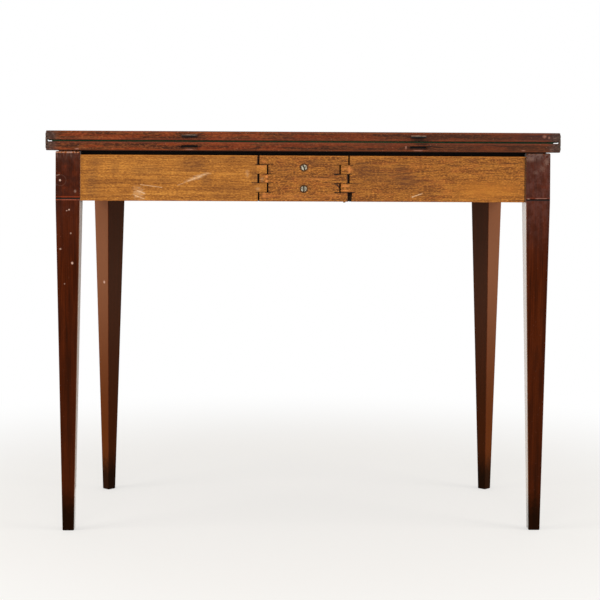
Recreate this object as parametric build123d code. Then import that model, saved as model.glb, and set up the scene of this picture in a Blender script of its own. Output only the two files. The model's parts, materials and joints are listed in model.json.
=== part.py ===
"""Fold-over card table: D-shaped folding top on a frieze with two swinging gate legs.

The frame is in millimetres, +Z up, with the origin on the floor under the middle of
the closed table. +X runs along the table and +Y points from the hinged back edge to
the bowed front. Places across the depth are measured forward from the back edge of
the top, and the function forward() turns them into a Y value.
"""

from build123d import *
import math
import os

# The top, which is two equal leaves
table_height = 715.0
leaf_width = 912.0
leaf_depth = 457.0
leaf_thickness = 16.0
leaf_corner_overhang = 16.0
leaf_arris = 1.2
leaf_hinge_arris = 2.0

# The cloth glued on both playing surfaces
baize_thickness = 1.4
baize_end_margin = 14.0
baize_front_margin = 14.0
baize_back_margin = 4.5
baize_rest_gap = 0.2

# Tongues that line up the two leaves when the top is open, and their mortises
tongue_centre = 203.0
tongue_width = 28.0
tongue_thickness = 4.0
tongue_reach = 6.0
tongue_depth_in_leaf = 14.0
tongue_below_playing_face = 6.0
tongue_end_radius = 1.2
mortise_clearance = 0.4
mortise_swing_room = 2.2
mortise_side_clearance = 2.0
mortise_end_share = 0.45

# The frieze, the band of rails under the top
frieze_height = 89.0
frieze_corner_radius = 160.0
front_rail_thickness = 30.0
end_rail_thickness = 32.0
veneer_thickness = 1.5
back_rail_thickness = 22.0
medial_rail_thickness = 22.0
medial_rail_height = 72.0
medial_housing_depth = 6.0

# The legs
leg_side = 43.5
gate_foot_side = 20.5
front_foot_side = 18.0
leg_arris = 0.9
foot_chamfer = 1.4
gate_leg_back_inset = 6.0
gate_leg_top_gap = 1.0
gate_leg_top_wear = 1.9
front_leg_proud = 2.0
bridle_web_thickness = 20.0
bridle_outer_cheek = 9.75

# How the gate leg laps round the corner of the frame
lap_outer_cheek = 18.0
lap_clearance = 0.5
lap_floor_clearance = 0.3
dovetail_count = 3
dovetail_neck_share = 0.66
dovetail_tip_share = 0.84

# The fly rails, the fixed block between them and the wooden knuckle hinges
fly_rail_height = 81.5
fly_rail_thickness = 22.0
fly_rail_back_inset = 8.0
fly_rail_swing_gap = 0.5
tenon_thickness = 10.0
tenon_height = 58.0
tenon_length = 25.0
knuckle_axis = 72.4
knuckle_axis_depth = 6.0
knuckle_count = 5
knuckle_reach = 6.5
knuckle_end_gap = 2.8
knuckle_side_gap = 0.7
knuckle_pin_diameter = 4.0
knuckle_pin_running_gap = 0.1
pin_seat_gap = 0.02
right_pin_drop = 1.6
chip_width_top = 4.6
chip_width_bottom = 3.3
chip_depth = 12.0
saw_kerf = 0.8
saw_overcut_in_block = 9.0
saw_overcut_in_rail = 4.5
saw_overcut_depth = 1.6

# Screws through the fixed block into the back rail
block_screw_spacing = 38.0
block_screw_above_middle = 0.8
block_screw_head_diameter = 11.0
block_screw_shank_diameter = 5.0
block_screw_length = 36.0
block_screw_sink = 1.9
block_screw_slot_width = 1.7
block_screw_slot_depth = 1.3
upper_screw_slot_lean = 20.0
lower_screw_slot_lean = -3.0

# Link hinges let into both ends of the top
hinge_pin_below_face = 3.0
hinge_pin_inset = 4.0
hinge_plate_length = 74.0
hinge_plate_height = 12.0
hinge_plate_thickness = 6.5
hinge_proud = 1.0
hinge_link_thickness = 3.5
hinge_link_end_radius = 3.1
hinge_link_clearance = 0.4
hinge_lap_gap = 0.2
hinge_pin_diameter = 3.0
hinge_pin_running_gap = 0.08
hinge_lug_radius = 3.0
hinge_arris = 0.4
plate_screw_head_diameter = 7.0
plate_screw_shank_diameter = 3.4
plate_screw_length = 19.0
plate_screw_slot_width = 1.0
plate_screw_slot_depth = 0.8
plate_screw_shares = (0.3, 0.58, 0.86)

# Thin dark strings let into the legs just above the foot of the frieze
string_height = 1.6
string_depth = 0.8
string_above_frieze_foot = 3.5

# Screws in gouged pockets that hold the rails to the underside of the fixed leaf
pocket_tilt = 22.0
pocket_diameter = 14.0
pocket_seat_below_top = 19.0
pocket_screw_bite = 9.0
pocket_screw_head_diameter = 9.0
pocket_screw_head_height = 2.5
pocket_screw_diameter = 4.5

# Glue blocks in the corner between the rails and the fixed leaf
glue_block_side = 22.0
glue_block_length = 58.0
front_block_shares = (-0.8, -0.3, 0.3, 0.8)
back_block_shares = (-0.76, -0.3, 0.3, 0.76)
end_block_shares = (0.25, 0.75)
front_screw_shares = (-0.55, 0.55)
back_screw_shares = (-0.52, 0.52)
end_screw_shares = (0.5,)

# Screws are drawn with flat sides: a few on the hidden shanks, more on the heads
shank_sides = 6
head_sides = 12

# One overrun serves every cut
overrun = 5.0

# Levels, worked out from the sizes above
leaf_gap = 2 * baize_thickness + baize_rest_gap
upper_leaf_bottom = table_height - leaf_thickness
lower_leaf_top = upper_leaf_bottom - leaf_gap
lower_leaf_bottom = lower_leaf_top - leaf_thickness
frieze_foot = lower_leaf_bottom - frieze_height
fly_rail_top = frieze_foot + fly_rail_height
gate_leg_top = lower_leaf_bottom - gate_leg_top_gap
string_level = frieze_foot + string_above_frieze_foot

# Places across and along the table
back_edge_y = -(leaf_depth - tongue_reach) / 2
frieze_half_width = leaf_width / 2 - leaf_corner_overhang
frieze_front = leaf_depth - leaf_corner_overhang
corner_centre_x = frieze_half_width - frieze_corner_radius
corner_centre_depth = frieze_front - frieze_corner_radius
core_half_width = frieze_half_width - veneer_thickness
core_front = frieze_front - veneer_thickness
core_corner_radius = frieze_corner_radius - veneer_thickness
gate_leg_inner_x = frieze_half_width - leg_side
gate_leg_front = gate_leg_back_inset + leg_side
fly_rail_front = fly_rail_back_inset + fly_rail_thickness
back_rail_back = fly_rail_front + fly_rail_swing_gap
back_rail_front = back_rail_back + back_rail_thickness
lap_face_x = frieze_half_width - lap_outer_cheek
tongue_face_x = lap_face_x - lap_clearance
end_rail_inner_x = core_half_width - end_rail_thickness
end_rail_shoulder = gate_leg_front + lap_clearance
front_rail_inner = core_front - front_rail_thickness
knuckle_axis_y = fly_rail_back_inset + knuckle_axis_depth
knuckle_root = knuckle_reach + knuckle_end_gap
knuckle_pitch = fly_rail_height / knuckle_count
swing_radius = fly_rail_thickness - knuckle_axis_depth
hinge_pitch = 2 * hinge_pin_below_face + leaf_gap


def forward(depth):
    """Y value of a place measured forward from the back edge of the top."""
    return back_edge_y + depth


def block(x0, x1, y0, y1, z0, z1):
    """Straight block between two corners, with depths from the back edge."""
    centre = Pos((x0 + x1) / 2, forward((y0 + y1) / 2), (z0 + z1) / 2)
    return centre * Box(abs(x1 - x0), abs(y1 - y0), abs(z1 - z0))


def mirrored(shape):
    """The same piece for the other end of the table."""
    return mirror(shape, about=Plane.YZ)


def prism_along_depth(points, y0, y1):
    """Prism with an outline of (x, z) points, from depth y0 to depth y1."""
    outline = Polyline(*[(x, forward(y0), z) for x, z in points], close=True)
    return extrude(make_face(outline), amount=y1 - y0, dir=(0, 1, 0))


def round_bar(x, depth, z0, z1, diameter):
    """Upright round bar."""
    return Pos(x, forward(depth), (z0 + z1) / 2) * Cylinder(diameter / 2, z1 - z0)


def d_shape(half_width, back, front, radius):
    """Face of a D-shaped top: square at the back, rounded at both front corners."""
    plan = Rectangle(2 * half_width, front - back)
    plan = fillet(plan.vertices().group_by(Axis.Y)[-1], radius)
    return Pos(0, forward((back + front) / 2)) * plan


def flat_sided(low_outline, low_level, high_outline, high_level):
    """Solid with flat sides between two level outlines whose edges run alike."""
    low = [Vector(x, y, low_level) for x, y in low_outline]
    high = [Vector(x, y, high_level) for x, y in high_outline]
    rings = [low, high]
    sides = zip(low, low[1:] + low[:1], high[1:] + high[:1], high)
    rings += [list(side) for side in sides]
    return Solid(Shell([make_face(Polyline(*ring, close=True)) for ring in rings]))


def square_outline(side):
    """Corners of a square about the origin."""
    half = side / 2
    return [(half, -half), (half, half), (-half, half), (-half, -half)]


def many_sided_outline(diameter, sides):
    """Corners of a regular outline about the origin."""
    turns = [2 * math.pi * index / sides for index in range(sides)]
    return [(diameter / 2 * math.cos(turn), diameter / 2 * math.sin(turn)) for turn in turns]


def screw_shank(diameter, length):
    """Shank of a wood screw along -Z from the origin, drawn with a few flat sides."""
    return extrude(RegularPolygon(diameter / 2, shank_sides), amount=-length)


def screw_cone(mouth_diameter, shank_diameter, height):
    """Countersunk cone below the origin, narrowing to the shank."""
    throat = many_sided_outline(shank_diameter, head_sides)
    return flat_sided(throat, -height, many_sided_outline(mouth_diameter, head_sides), 0)


def countersunk_screw(head_diameter, shank_diameter, length, slot_width, slot_depth, lean):
    """Slotted screw along -Z, with the face of its head at the origin."""
    cone_height = (head_diameter - shank_diameter) / 2
    head = screw_cone(head_diameter, shank_diameter, cone_height)
    shank = Pos(0, 0, -cone_height) * screw_shank(shank_diameter, length - cone_height)
    slot = Rot(0, 0, lean) * Box(slot_width, head_diameter + overrun, 2 * slot_depth)
    return head + shank - slot


def screw_way(head_diameter, shank_diameter, length, sink):
    """Hole for a countersunk screw along -Z, whose head lies below the surface."""
    mouth_diameter = head_diameter + 2 * sink
    cone_height = (mouth_diameter - shank_diameter) / 2
    shank = screw_shank(shank_diameter, length + sink - cone_height)
    return screw_cone(mouth_diameter, shank_diameter, cone_height) + Pos(0, 0, -cone_height) * shank


def leg_outline(side):
    """Corners of a leg's square section with its four edges taken off."""
    half = side / 2
    near = half - leg_arris
    return [(half, -near), (half, near), (near, half), (-near, half),
            (-half, near), (-half, -near), (-near, -half), (near, -half)]


def tapered_leg(foot_side, top_level):
    """Square leg on the Z axis: straight beside the frieze, tapered below it."""
    shoulder = leg_outline(leg_side)
    taper = flat_sided(leg_outline(foot_side), 0, shoulder, frieze_foot)
    leg = taper + flat_sided(shoulder, frieze_foot, shoulder, top_level)
    floor_side = foot_side - 2 * foot_chamfer
    bevel_side = floor_side + 2 * top_level
    return leg & flat_sided(square_outline(floor_side), 0, square_outline(bevel_side), top_level)


# Gate legs


def gate_leg_place():
    """Where the middle of the right gate leg stands."""
    middle = gate_leg_back_inset + leg_side / 2
    return Pos(frieze_half_width - leg_side / 2, forward(middle), 0)


def tenon(from_x, to_x):
    """Tenon of a fly rail in its leg, between two places along the table."""
    y0 = fly_rail_back_inset + (fly_rail_thickness - tenon_thickness) / 2
    z0 = frieze_foot + (fly_rail_height - tenon_height) / 2
    return block(from_x, to_x, y0, y0 + tenon_thickness, z0, z0 + tenon_height)


def worn_top():
    """Square pyramid whose slopes take off the worn edges round a gate leg's top."""
    top_side = leg_side - 2 * gate_leg_top_wear
    base_side = top_side + 2 * gate_leg_top
    return flat_sided(square_outline(base_side), 0, square_outline(top_side), gate_leg_top)


def gate_leg_string():
    """String along the back and outer faces of the right gate leg, squared off."""
    z0 = string_level - string_height / 2
    z1 = string_level + string_height / 2
    back = block(gate_leg_inner_x, frieze_half_width, gate_leg_back_inset,
                 gate_leg_back_inset + string_depth, z0, z1)
    side = block(frieze_half_width - string_depth, frieze_half_width,
                 gate_leg_back_inset, gate_leg_front, z0, z1)
    return back + side


def gate_leg_and_string():
    """Right gate leg, notched where it laps the frame, and its string."""
    leg = gate_leg_place() * (tapered_leg(gate_foot_side, gate_leg_top) & worn_top())
    string = gate_leg_string() & leg
    notch = block(gate_leg_inner_x - overrun, lap_face_x, fly_rail_front,
                  gate_leg_front + overrun, frieze_foot - lap_floor_clearance,
                  gate_leg_top + overrun)
    mortise = tenon(gate_leg_inner_x - overrun, gate_leg_inner_x + tenon_length)
    return leg - notch - mortise - string, string


# Wooden knuckle hinges between the fly rails and the fixed block


def knuckle_levels(first):
    """Bottom and top of every second knuckle, from the top down."""
    levels = []
    for index in range(first, knuckle_count, 2):
        top = fly_rail_top - index * knuckle_pitch
        levels.append((top - knuckle_pitch, top))
    return levels


def trimmed(level, gap):
    """A knuckle's own height once its sawn clearance is taken off inside the rail."""
    bottom, top = level
    low = bottom if bottom <= frieze_foot else bottom + gap / 2
    high = top if top >= fly_rail_top else top - gap / 2
    return low, high


def saw_overcuts(from_x, to_x):
    """Saw marks that run on past the slots' corners, at each cut between two knuckles."""
    back = fly_rail_back_inset
    cuts = []
    for index in range(1, knuckle_count):
        level = fly_rail_top - index * knuckle_pitch
        cuts.append(block(from_x, to_x, back - overrun, back + saw_overcut_depth,
                          level - saw_kerf / 2, level + saw_kerf / 2))
    return cuts


def fly_rail():
    """Right fly rail: a board with two knuckles and a tenon."""
    rail = block(knuckle_axis + knuckle_root, gate_leg_inner_x, fly_rail_back_inset,
                 fly_rail_front, frieze_foot, fly_rail_top)
    swing = round_bar(knuckle_axis, knuckle_axis_y, frieze_foot, fly_rail_top, 2 * swing_radius)
    for level in knuckle_levels(1):
        z0, z1 = trimmed(level, knuckle_side_gap)
        inner = block(knuckle_axis, knuckle_axis + knuckle_root, fly_rail_back_inset,
                      fly_rail_front, z0, z1)
        tip = block(knuckle_axis - knuckle_reach, knuckle_axis, fly_rail_back_inset,
                    fly_rail_front, z0, z1)
        rail = rail + inner + (tip & swing)
    bore = round_bar(knuckle_axis, knuckle_axis_y, frieze_foot - overrun, fly_rail_top + overrun,
                     knuckle_pin_diameter + 2 * knuckle_pin_running_gap)
    root = knuckle_axis + knuckle_root
    for cut in saw_overcuts(root, root + saw_overcut_in_rail):
        rail = rail - cut
    return rail - bore + tenon(gate_leg_inner_x, gate_leg_inner_x + tenon_length)


def lower_corner_chip():
    """Wedge broken off the lowest slot end of the right fly rail."""
    root = knuckle_axis + knuckle_root
    top = frieze_foot + knuckle_pitch
    below = frieze_foot - overrun
    outline = [(root - overrun, below), (root + chip_width_bottom, below),
               (root + chip_width_bottom, frieze_foot), (root + chip_width_top, top),
               (root - overrun, top)]
    back = fly_rail_back_inset
    return prism_along_depth(outline, back - overrun, back + chip_depth)


def block_screw_level(side):
    """Level of the upper (+1) or lower (-1) screw of the fixed block."""
    middle = frieze_foot + fly_rail_height / 2 + block_screw_above_middle
    return middle + side * block_screw_spacing / 2


def on_block_face(level, sink):
    """Frame on the back face of the block, with Z out of the face."""
    origin = (0, forward(fly_rail_back_inset + sink), level)
    return Plane(origin=origin, x_dir=(1, 0, 0), z_dir=(0, -1, 0)).location


def block_screws():
    """The two slotted screws, one leaning and one upright slot."""
    screws = []
    for side, lean in ((1, upper_screw_slot_lean), (-1, lower_screw_slot_lean)):
        screw = countersunk_screw(block_screw_head_diameter, block_screw_shank_diameter,
                                  block_screw_length, block_screw_slot_width,
                                  block_screw_slot_depth, lean)
        screws.append(on_block_face(block_screw_level(side), block_screw_sink) * screw)
    return screws


def block_screw_ways():
    """Holes for both screws, through the block and into the back rail."""
    way = screw_way(block_screw_head_diameter, block_screw_shank_diameter,
                    block_screw_length, block_screw_sink)
    return [on_block_face(block_screw_level(side), 0) * way for side in (1, -1)]


def hinge_block():
    """Fixed block in the middle, with three knuckles at each end."""
    root = knuckle_axis - knuckle_root
    body = block(-root, root, fly_rail_back_inset, back_rail_back, frieze_foot, fly_rail_top)
    reach = knuckle_axis + knuckle_reach
    for level in knuckle_levels(0):
        z0, z1 = trimmed(level, knuckle_side_gap)
        body = body + block(-reach, reach, fly_rail_back_inset, back_rail_back, z0, z1)
    for side in (1, -1):
        body = body - round_bar(side * knuckle_axis, knuckle_axis_y, frieze_foot - overrun,
                                fly_rail_top + overrun, knuckle_pin_diameter + 2 * pin_seat_gap)
    for way in block_screw_ways():
        body = body - way
    for cut in saw_overcuts(root - saw_overcut_in_block, root):
        body = body - cut - mirrored(cut)
    return body


def knuckle_pin(side, drop):
    """Steel pin of one wooden hinge, which may have worked down a little."""
    return round_bar(side * knuckle_axis, knuckle_axis_y, frieze_foot - drop,
                     fly_rail_top - drop, knuckle_pin_diameter)


# Fixed frame


def dovetail_tails():
    """Tails of the back rail, in the right-hand end rail's tongue."""
    pitch = frieze_height / dovetail_count
    tails = []
    for index in range(dovetail_count):
        middle = frieze_foot + (index + 1 / 2) * pitch
        neck = pitch * dovetail_neck_share / 2
        tip = pitch * dovetail_tip_share / 2
        outline = [(end_rail_inner_x, middle - neck), (tongue_face_x, middle - tip),
                   (tongue_face_x, middle + tip), (end_rail_inner_x, middle + neck)]
        tails.append(prism_along_depth(outline, back_rail_back, back_rail_front))
    return tails


def medial_rail():
    """Cross rail from the back rail to the front rail, housed in both."""
    return block(-medial_rail_thickness / 2, medial_rail_thickness / 2,
                 back_rail_front - medial_housing_depth, front_rail_inner + medial_housing_depth,
                 lower_leaf_bottom - medial_rail_height, lower_leaf_bottom)


def inner_back_rail():
    """Full-height rail behind the fly rails, dovetailed to the end rails."""
    rail = block(-end_rail_inner_x, end_rail_inner_x, back_rail_back, back_rail_front,
                 frieze_foot, lower_leaf_bottom)
    for tail in dovetail_tails():
        rail = rail + tail + mirrored(tail)
    rail = rail - medial_rail()
    for way in block_screw_ways():
        rail = rail - way
    return rail


def end_rail():
    """Right end rail, rebated to a tongue where the gate leg laps it."""
    rail = block(end_rail_inner_x, core_half_width, end_rail_shoulder, corner_centre_depth,
                 frieze_foot, lower_leaf_bottom)
    tongue = block(end_rail_inner_x, tongue_face_x, back_rail_back, end_rail_shoulder,
                   frieze_foot, lower_leaf_bottom)
    rail = rail + tongue
    for tail in dovetail_tails():
        rail = rail - tail
    return rail


def front_rail():
    """Straight middle of the front of the frieze."""
    rail = block(-corner_centre_x, corner_centre_x, front_rail_inner, core_front,
                 frieze_foot, lower_leaf_bottom)
    return rail - medial_rail()


def front_leg_place():
    """Where the right front leg stands, turned to face out of the corner."""
    radial = frieze_corner_radius + front_leg_proud - leg_side / 2
    turn = math.radians(45)
    x = corner_centre_x + radial * math.cos(turn)
    depth = corner_centre_depth + radial * math.sin(turn)
    return Location((x, forward(depth), 0), (0, 0, 45))


def bridle_faces():
    """Inner and outer faces of the web that the front leg straddles."""
    outer = leg_side / 2 - bridle_outer_cheek
    return outer - bridle_web_thickness, outer


def front_leg_cheeks():
    """The right front leg's two cheeks, lengthened so that they cut the rail."""
    inner, outer = bridle_faces()
    height = frieze_height + overrun
    level = frieze_foot + height / 2 - overrun
    reach = leg_side
    outer_cheek = Pos(outer + reach / 2, 0, level) * Box(reach, leg_side, height + overrun)
    inner_cheek = Pos(inner - reach / 2, 0, level) * Box(reach, leg_side, height + overrun)
    return front_leg_place() * (outer_cheek + inner_cheek)


def corner_rail():
    """Right front corner of the frieze, trenched on both faces for the leg."""
    ring = Circle(core_corner_radius) - Circle(core_corner_radius - front_rail_thickness)
    quarter = Pos(core_corner_radius / 2, core_corner_radius / 2) * Rectangle(
        core_corner_radius, core_corner_radius)
    plan = Pos(corner_centre_x, forward(corner_centre_depth), frieze_foot) * (ring & quarter)
    return extrude(plan, amount=frieze_height) - front_leg_cheeks()


def front_leg_and_string():
    """Right front leg, slotted over the frieze, and the string on its outer face."""
    leg = tapered_leg(front_foot_side, lower_leaf_bottom)
    half = leg_side / 2
    string = Pos(half - string_depth / 2, 0, string_level) * Box(string_depth, leg_side, string_height)
    string = string & leg
    inner, outer = bridle_faces()
    slot_height = frieze_height + overrun
    slot = Pos((inner + outer) / 2, 0, frieze_foot + slot_height / 2) * Box(
        outer - inner, leg_side + overrun, slot_height)
    return front_leg_place() * (leg - slot - string), front_leg_place() * string


def frieze_veneers():
    """Three veneers, parted by the front legs: left, front and right."""
    outside = d_shape(frieze_half_width, end_rail_shoulder, frieze_front, frieze_corner_radius)
    inside = d_shape(core_half_width, end_rail_shoulder - overrun, core_front, core_corner_radius)
    band = Pos(0, 0, frieze_foot) * (outside - inside)
    skin = extrude(band, amount=frieze_height)
    skin = skin - front_leg_cheeks() - mirrored(front_leg_cheeks())
    return skin.solids().sort_by(Axis.X)


# Screws and glue blocks under the fixed leaf


def pocket_frame(x, depth, inward):
    """Frame on the top of a rail, with Z up along a pocket screw leaning out of the well."""
    lean = math.radians(pocket_tilt)
    ix, iy = inward
    rising = (-ix * math.sin(lean), -iy * math.sin(lean), math.cos(lean))
    return Plane(origin=(x, forward(depth), lower_leaf_bottom), z_dir=rising).location


def pocket_places():
    """Every pocket screw: its place on top of a rail and the way into the well."""
    end_x = (end_rail_inner_x + core_half_width) / 2
    end_run = corner_centre_depth - end_rail_shoulder
    front_y = (front_rail_inner + core_front) / 2
    back_y = (back_rail_back + back_rail_front) / 2
    places = [(share * corner_centre_x, front_y, (0, -1)) for share in front_screw_shares]
    places += [(share * end_rail_inner_x, back_y, (0, 1)) for share in back_screw_shares]
    for share in end_screw_shares:
        depth = end_rail_shoulder + share * end_run
        places += [(end_x, depth, (-1, 0)), (-end_x, depth, (1, 0))]
    return places


def pocket_screws():
    """The screws that hold the frieze to the fixed leaf."""
    length = pocket_seat_below_top + pocket_screw_bite
    shank = Pos(0, 0, -pocket_seat_below_top) * Rot(180, 0, 0) * screw_shank(
        pocket_screw_diameter, length)
    head = Pos(0, 0, -pocket_seat_below_top) * extrude(
        RegularPolygon(pocket_screw_head_diameter / 2, head_sides), amount=-pocket_screw_head_height)
    return [pocket_frame(*place) * (shank + head) for place in pocket_places()]


def pocket_cuts():
    """What a pocket takes out of a rail: the gouged pocket alone."""
    length = front_rail_thickness / math.sin(math.radians(pocket_tilt))
    gouge = Pos(0, 0, -pocket_seat_below_top - length / 2) * Cylinder(pocket_diameter / 2, length)
    return [pocket_frame(*place) * gouge for place in pocket_places()]


def glue_block(x, depth, inward):
    """Three-cornered block under the leaf, against the inner face of a rail."""
    half = glue_block_length / 2
    ix, iy = inward
    place = Plane(origin=(x, forward(depth), lower_leaf_bottom), x_dir=(ix, iy, 0),
                  z_dir=(iy, -ix, 0)).location
    outline = make_face(Polyline((0, 0), (glue_block_side, 0), (0, -glue_block_side), close=True))
    return place * Pos(0, 0, -half) * extrude(outline, amount=2 * half, dir=(0, 0, 1))


def glue_blocks():
    """All glue blocks round the well."""
    end_run = corner_centre_depth - end_rail_shoulder
    blocks = [glue_block(share * corner_centre_x, front_rail_inner, (0, -1))
              for share in front_block_shares]
    blocks += [glue_block(share * end_rail_inner_x, back_rail_front, (0, 1))
               for share in back_block_shares]
    for share in end_block_shares:
        depth = end_rail_shoulder + share * end_run
        blocks += [glue_block(end_rail_inner_x, depth, (-1, 0)),
                   glue_block(-end_rail_inner_x, depth, (1, 0))]
    return blocks


# The two leaves


def fold_arris(playing_level, playing_side):
    """What rounding takes off a leaf's back edge, on the side that folds."""
    radius = leaf_hinge_arris
    inside = playing_level - playing_side * radius
    outside = playing_level + playing_side * overrun
    half = leaf_width / 2 + overrun
    corner = block(-half, half, -overrun, radius, min(inside, outside), max(inside, outside))
    round_over = Pos(0, forward(radius), inside) * Rot(0, 90, 0) * Cylinder(radius, 2 * half)
    return corner - round_over


def leaf_board(bottom, playing_side):
    """One leaf: D-shaped board with a rounder arris where the leaves fold."""
    plan = Pos(0, 0, bottom) * d_shape(leaf_width / 2, 0, leaf_depth,
                                       frieze_corner_radius + leaf_corner_overhang)
    board = extrude(plan, amount=leaf_thickness)
    playing_level = bottom + leaf_thickness if playing_side > 0 else bottom
    rim = board.edges().filter_by(lambda edge: abs(edge.center().Z - playing_level) < leaf_arris
                                  and edge.center().Y > forward(leaf_arris))
    other = board.edges().filter_by(lambda edge: abs(edge.center().Z - playing_level) > leaf_arris
                                    and abs(edge.tangent_at(0).Z) < abs(edge.tangent_at(0).X)
                                    + abs(edge.tangent_at(0).Y))
    board = chamfer(list(rim) + list(other), leaf_arris)
    return board - fold_arris(playing_level, playing_side)


def baize(bottom):
    """Cloth on one playing surface."""
    radius = frieze_corner_radius + leaf_corner_overhang - baize_front_margin
    plan = d_shape(leaf_width / 2 - baize_end_margin, baize_back_margin,
                   leaf_depth - baize_front_margin, radius)
    return extrude(Pos(0, 0, bottom) * plan, amount=baize_thickness)


def tongue(side):
    """Tongue glued into the back edge of the upper leaf."""
    middle = upper_leaf_bottom + tongue_below_playing_face + tongue_thickness / 2
    y0 = -tongue_reach
    body = block(side * tongue_centre - tongue_width / 2, side * tongue_centre + tongue_width / 2,
                 y0, tongue_depth_in_leaf, middle - tongue_thickness / 2, middle + tongue_thickness / 2)
    tip_edges = body.edges().filter_by(Axis.X).group_by(Axis.Y)[0]
    return fillet(tip_edges, tongue_end_radius)


def mortise(side):
    """Mortise in the back edge of the lower leaf, roomy enough for the tongue's swing."""
    top = lower_leaf_top - tongue_below_playing_face + mortise_clearance
    bottom = (lower_leaf_top - tongue_below_playing_face - tongue_thickness
              - mortise_swing_room)
    depth = tongue_reach + mortise_clearance
    half = tongue_width / 2 + mortise_side_clearance
    middle = side * tongue_centre
    height = top - bottom
    mouth = RectangleRounded(2 * half, height, height * mortise_end_share)
    frame = Plane(origin=(middle, forward(-overrun), (top + bottom) / 2), x_dir=(1, 0, 0),
                  z_dir=(0, -1, 0))
    pocket = extrude(frame.location * mouth, amount=depth + overrun, dir=(0, 1, 0))
    return pocket


# Link hinges at the ends of the top


def plate_blank(playing_level, away):
    """Right-hand plate before its lap is cut, on the side of the leaf away from the fold."""
    outer = leaf_width / 2 + hinge_proud
    far = playing_level + away * hinge_plate_height
    low, high = min(playing_level, far), max(playing_level, far)
    start = hinge_pin_inset - hinge_lug_radius
    plate = block(outer - hinge_plate_thickness, outer, start, start + hinge_plate_length, low, high)
    lug_edges = plate.edges().filter_by(Axis.X).group_by(Axis.Y)[0].sort_by(Axis.Z)
    lug_edge = lug_edges[0] if away > 0 else lug_edges[-1]
    plate = fillet(lug_edge, hinge_lug_radius - hinge_arris)
    front_edges = plate.edges().filter_by(Axis.X).group_by(Axis.Y)[-1]
    return fillet(front_edges, hinge_lug_radius)


def link_sweep(playing_level, away):
    """Room cut in a plate's outer half for the link, from closed round to open."""
    outer = leaf_width / 2 + hinge_proud
    inner = outer - hinge_link_thickness - hinge_lap_gap
    room = hinge_link_end_radius + hinge_link_clearance
    level = playing_level + away * hinge_pin_below_face
    far = level + away * room
    toward_fold = playing_level - away * overrun
    low, high = min(far, toward_fold), max(far, toward_fold)
    cut = block(inner, outer + overrun, -overrun, hinge_pin_inset + room, low, high)
    corners = cut.edges().filter_by(Axis.X).group_by(Axis.Y)[-1].sort_by(Axis.Z)
    return fillet(corners[-1] if away > 0 else corners[0], room - hinge_arris)


def on_plate_face(depth, level):
    """Frame on the outer face of a right-hand plate, with Z out of the face."""
    return Plane(origin=(leaf_width / 2 + hinge_proud, forward(depth), level),
                 x_dir=(0, 1, 0), z_dir=(1, 0, 0)).location


def plate_screw_places(playing_level, away):
    """Places of the three screws along a right-hand plate."""
    start = hinge_pin_inset - hinge_lug_radius
    level = playing_level + away * hinge_plate_height / 2
    return [on_plate_face(start + share * hinge_plate_length, level) for share in plate_screw_shares]


def hinge_plate(playing_level, away):
    """Right-hand plate with its lap, pin bore and countersunk holes."""
    plate = plate_blank(playing_level, away) - link_sweep(playing_level, away)
    bore = Cylinder(hinge_pin_diameter / 2 + hinge_pin_running_gap, 4 * hinge_plate_thickness)
    level = playing_level + away * hinge_pin_below_face
    plate = plate - on_plate_face(hinge_pin_inset, level) * bore
    way = screw_way(plate_screw_head_diameter, plate_screw_shank_diameter, plate_screw_length, 0)
    for place in plate_screw_places(playing_level, away):
        plate = plate - place * way
    return plate


def plate_screws(playing_level, away):
    """The three screws of a right-hand plate."""
    screw = countersunk_screw(plate_screw_head_diameter, plate_screw_shank_diameter,
                              plate_screw_length, plate_screw_slot_width,
                              plate_screw_slot_depth, 0)
    return [place * screw for place in plate_screw_places(playing_level, away)]


def hinge_link():
    """Right-hand link, an outer strap with round ends on two pins."""
    middle = (lower_leaf_top + upper_leaf_bottom) / 2
    outline = SlotCenterToCenter(hinge_pitch, 2 * hinge_link_end_radius, rotation=90)
    bores = Pos(0, hinge_pitch / 2) * Circle(hinge_pin_diameter / 2 + pin_seat_gap)
    bores = bores + Pos(0, -hinge_pitch / 2) * Circle(hinge_pin_diameter / 2 + pin_seat_gap)
    strap = extrude(outline - bores, amount=-hinge_link_thickness)
    return on_plate_face(hinge_pin_inset, middle) * strap


def hinge_link_pins():
    """The right-hand link's two pins."""
    length = hinge_plate_thickness
    pin = Pos(0, 0, -length / 2) * Cylinder(hinge_pin_diameter / 2, length)
    levels = (lower_leaf_top - hinge_pin_below_face, upper_leaf_bottom + hinge_pin_below_face)
    return [on_plate_face(hinge_pin_inset, level) * pin for level in levels]


def plate_recess(playing_level, away):
    """Recess in a leaf's end for a right-hand plate, open to the back and the fold."""
    far = playing_level + away * hinge_plate_height
    fold = playing_level - away * overrun
    inner = leaf_width / 2 + hinge_proud - hinge_plate_thickness
    end = hinge_pin_inset - hinge_lug_radius + hinge_plate_length
    low, high = min(far, fold), max(far, fold)
    cut = block(inner, leaf_width / 2 + overrun, -overrun, end, low, high)
    corners = cut.edges().filter_by(Axis.X).group_by(Axis.Y)[-1].sort_by(Axis.Z)
    return fillet(corners[-1] if away > 0 else corners[0], hinge_lug_radius)


def both_ends(shapes):
    """A list of right-hand shapes with their mirrored copies."""
    return list(shapes) + [mirrored(shape) for shape in shapes]


def with_plate_cuts(leaf, playing_level, away):
    """A leaf with the recesses and screw holes of its two plates."""
    for cut in both_ends([plate_recess(playing_level, away)]):
        leaf = leaf - cut
    way = screw_way(plate_screw_head_diameter, plate_screw_shank_diameter, plate_screw_length, 0)
    ways = [place * way for place in plate_screw_places(playing_level, away)]
    for cut in both_ends(ways):
        leaf = leaf - cut
    return leaf


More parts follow.
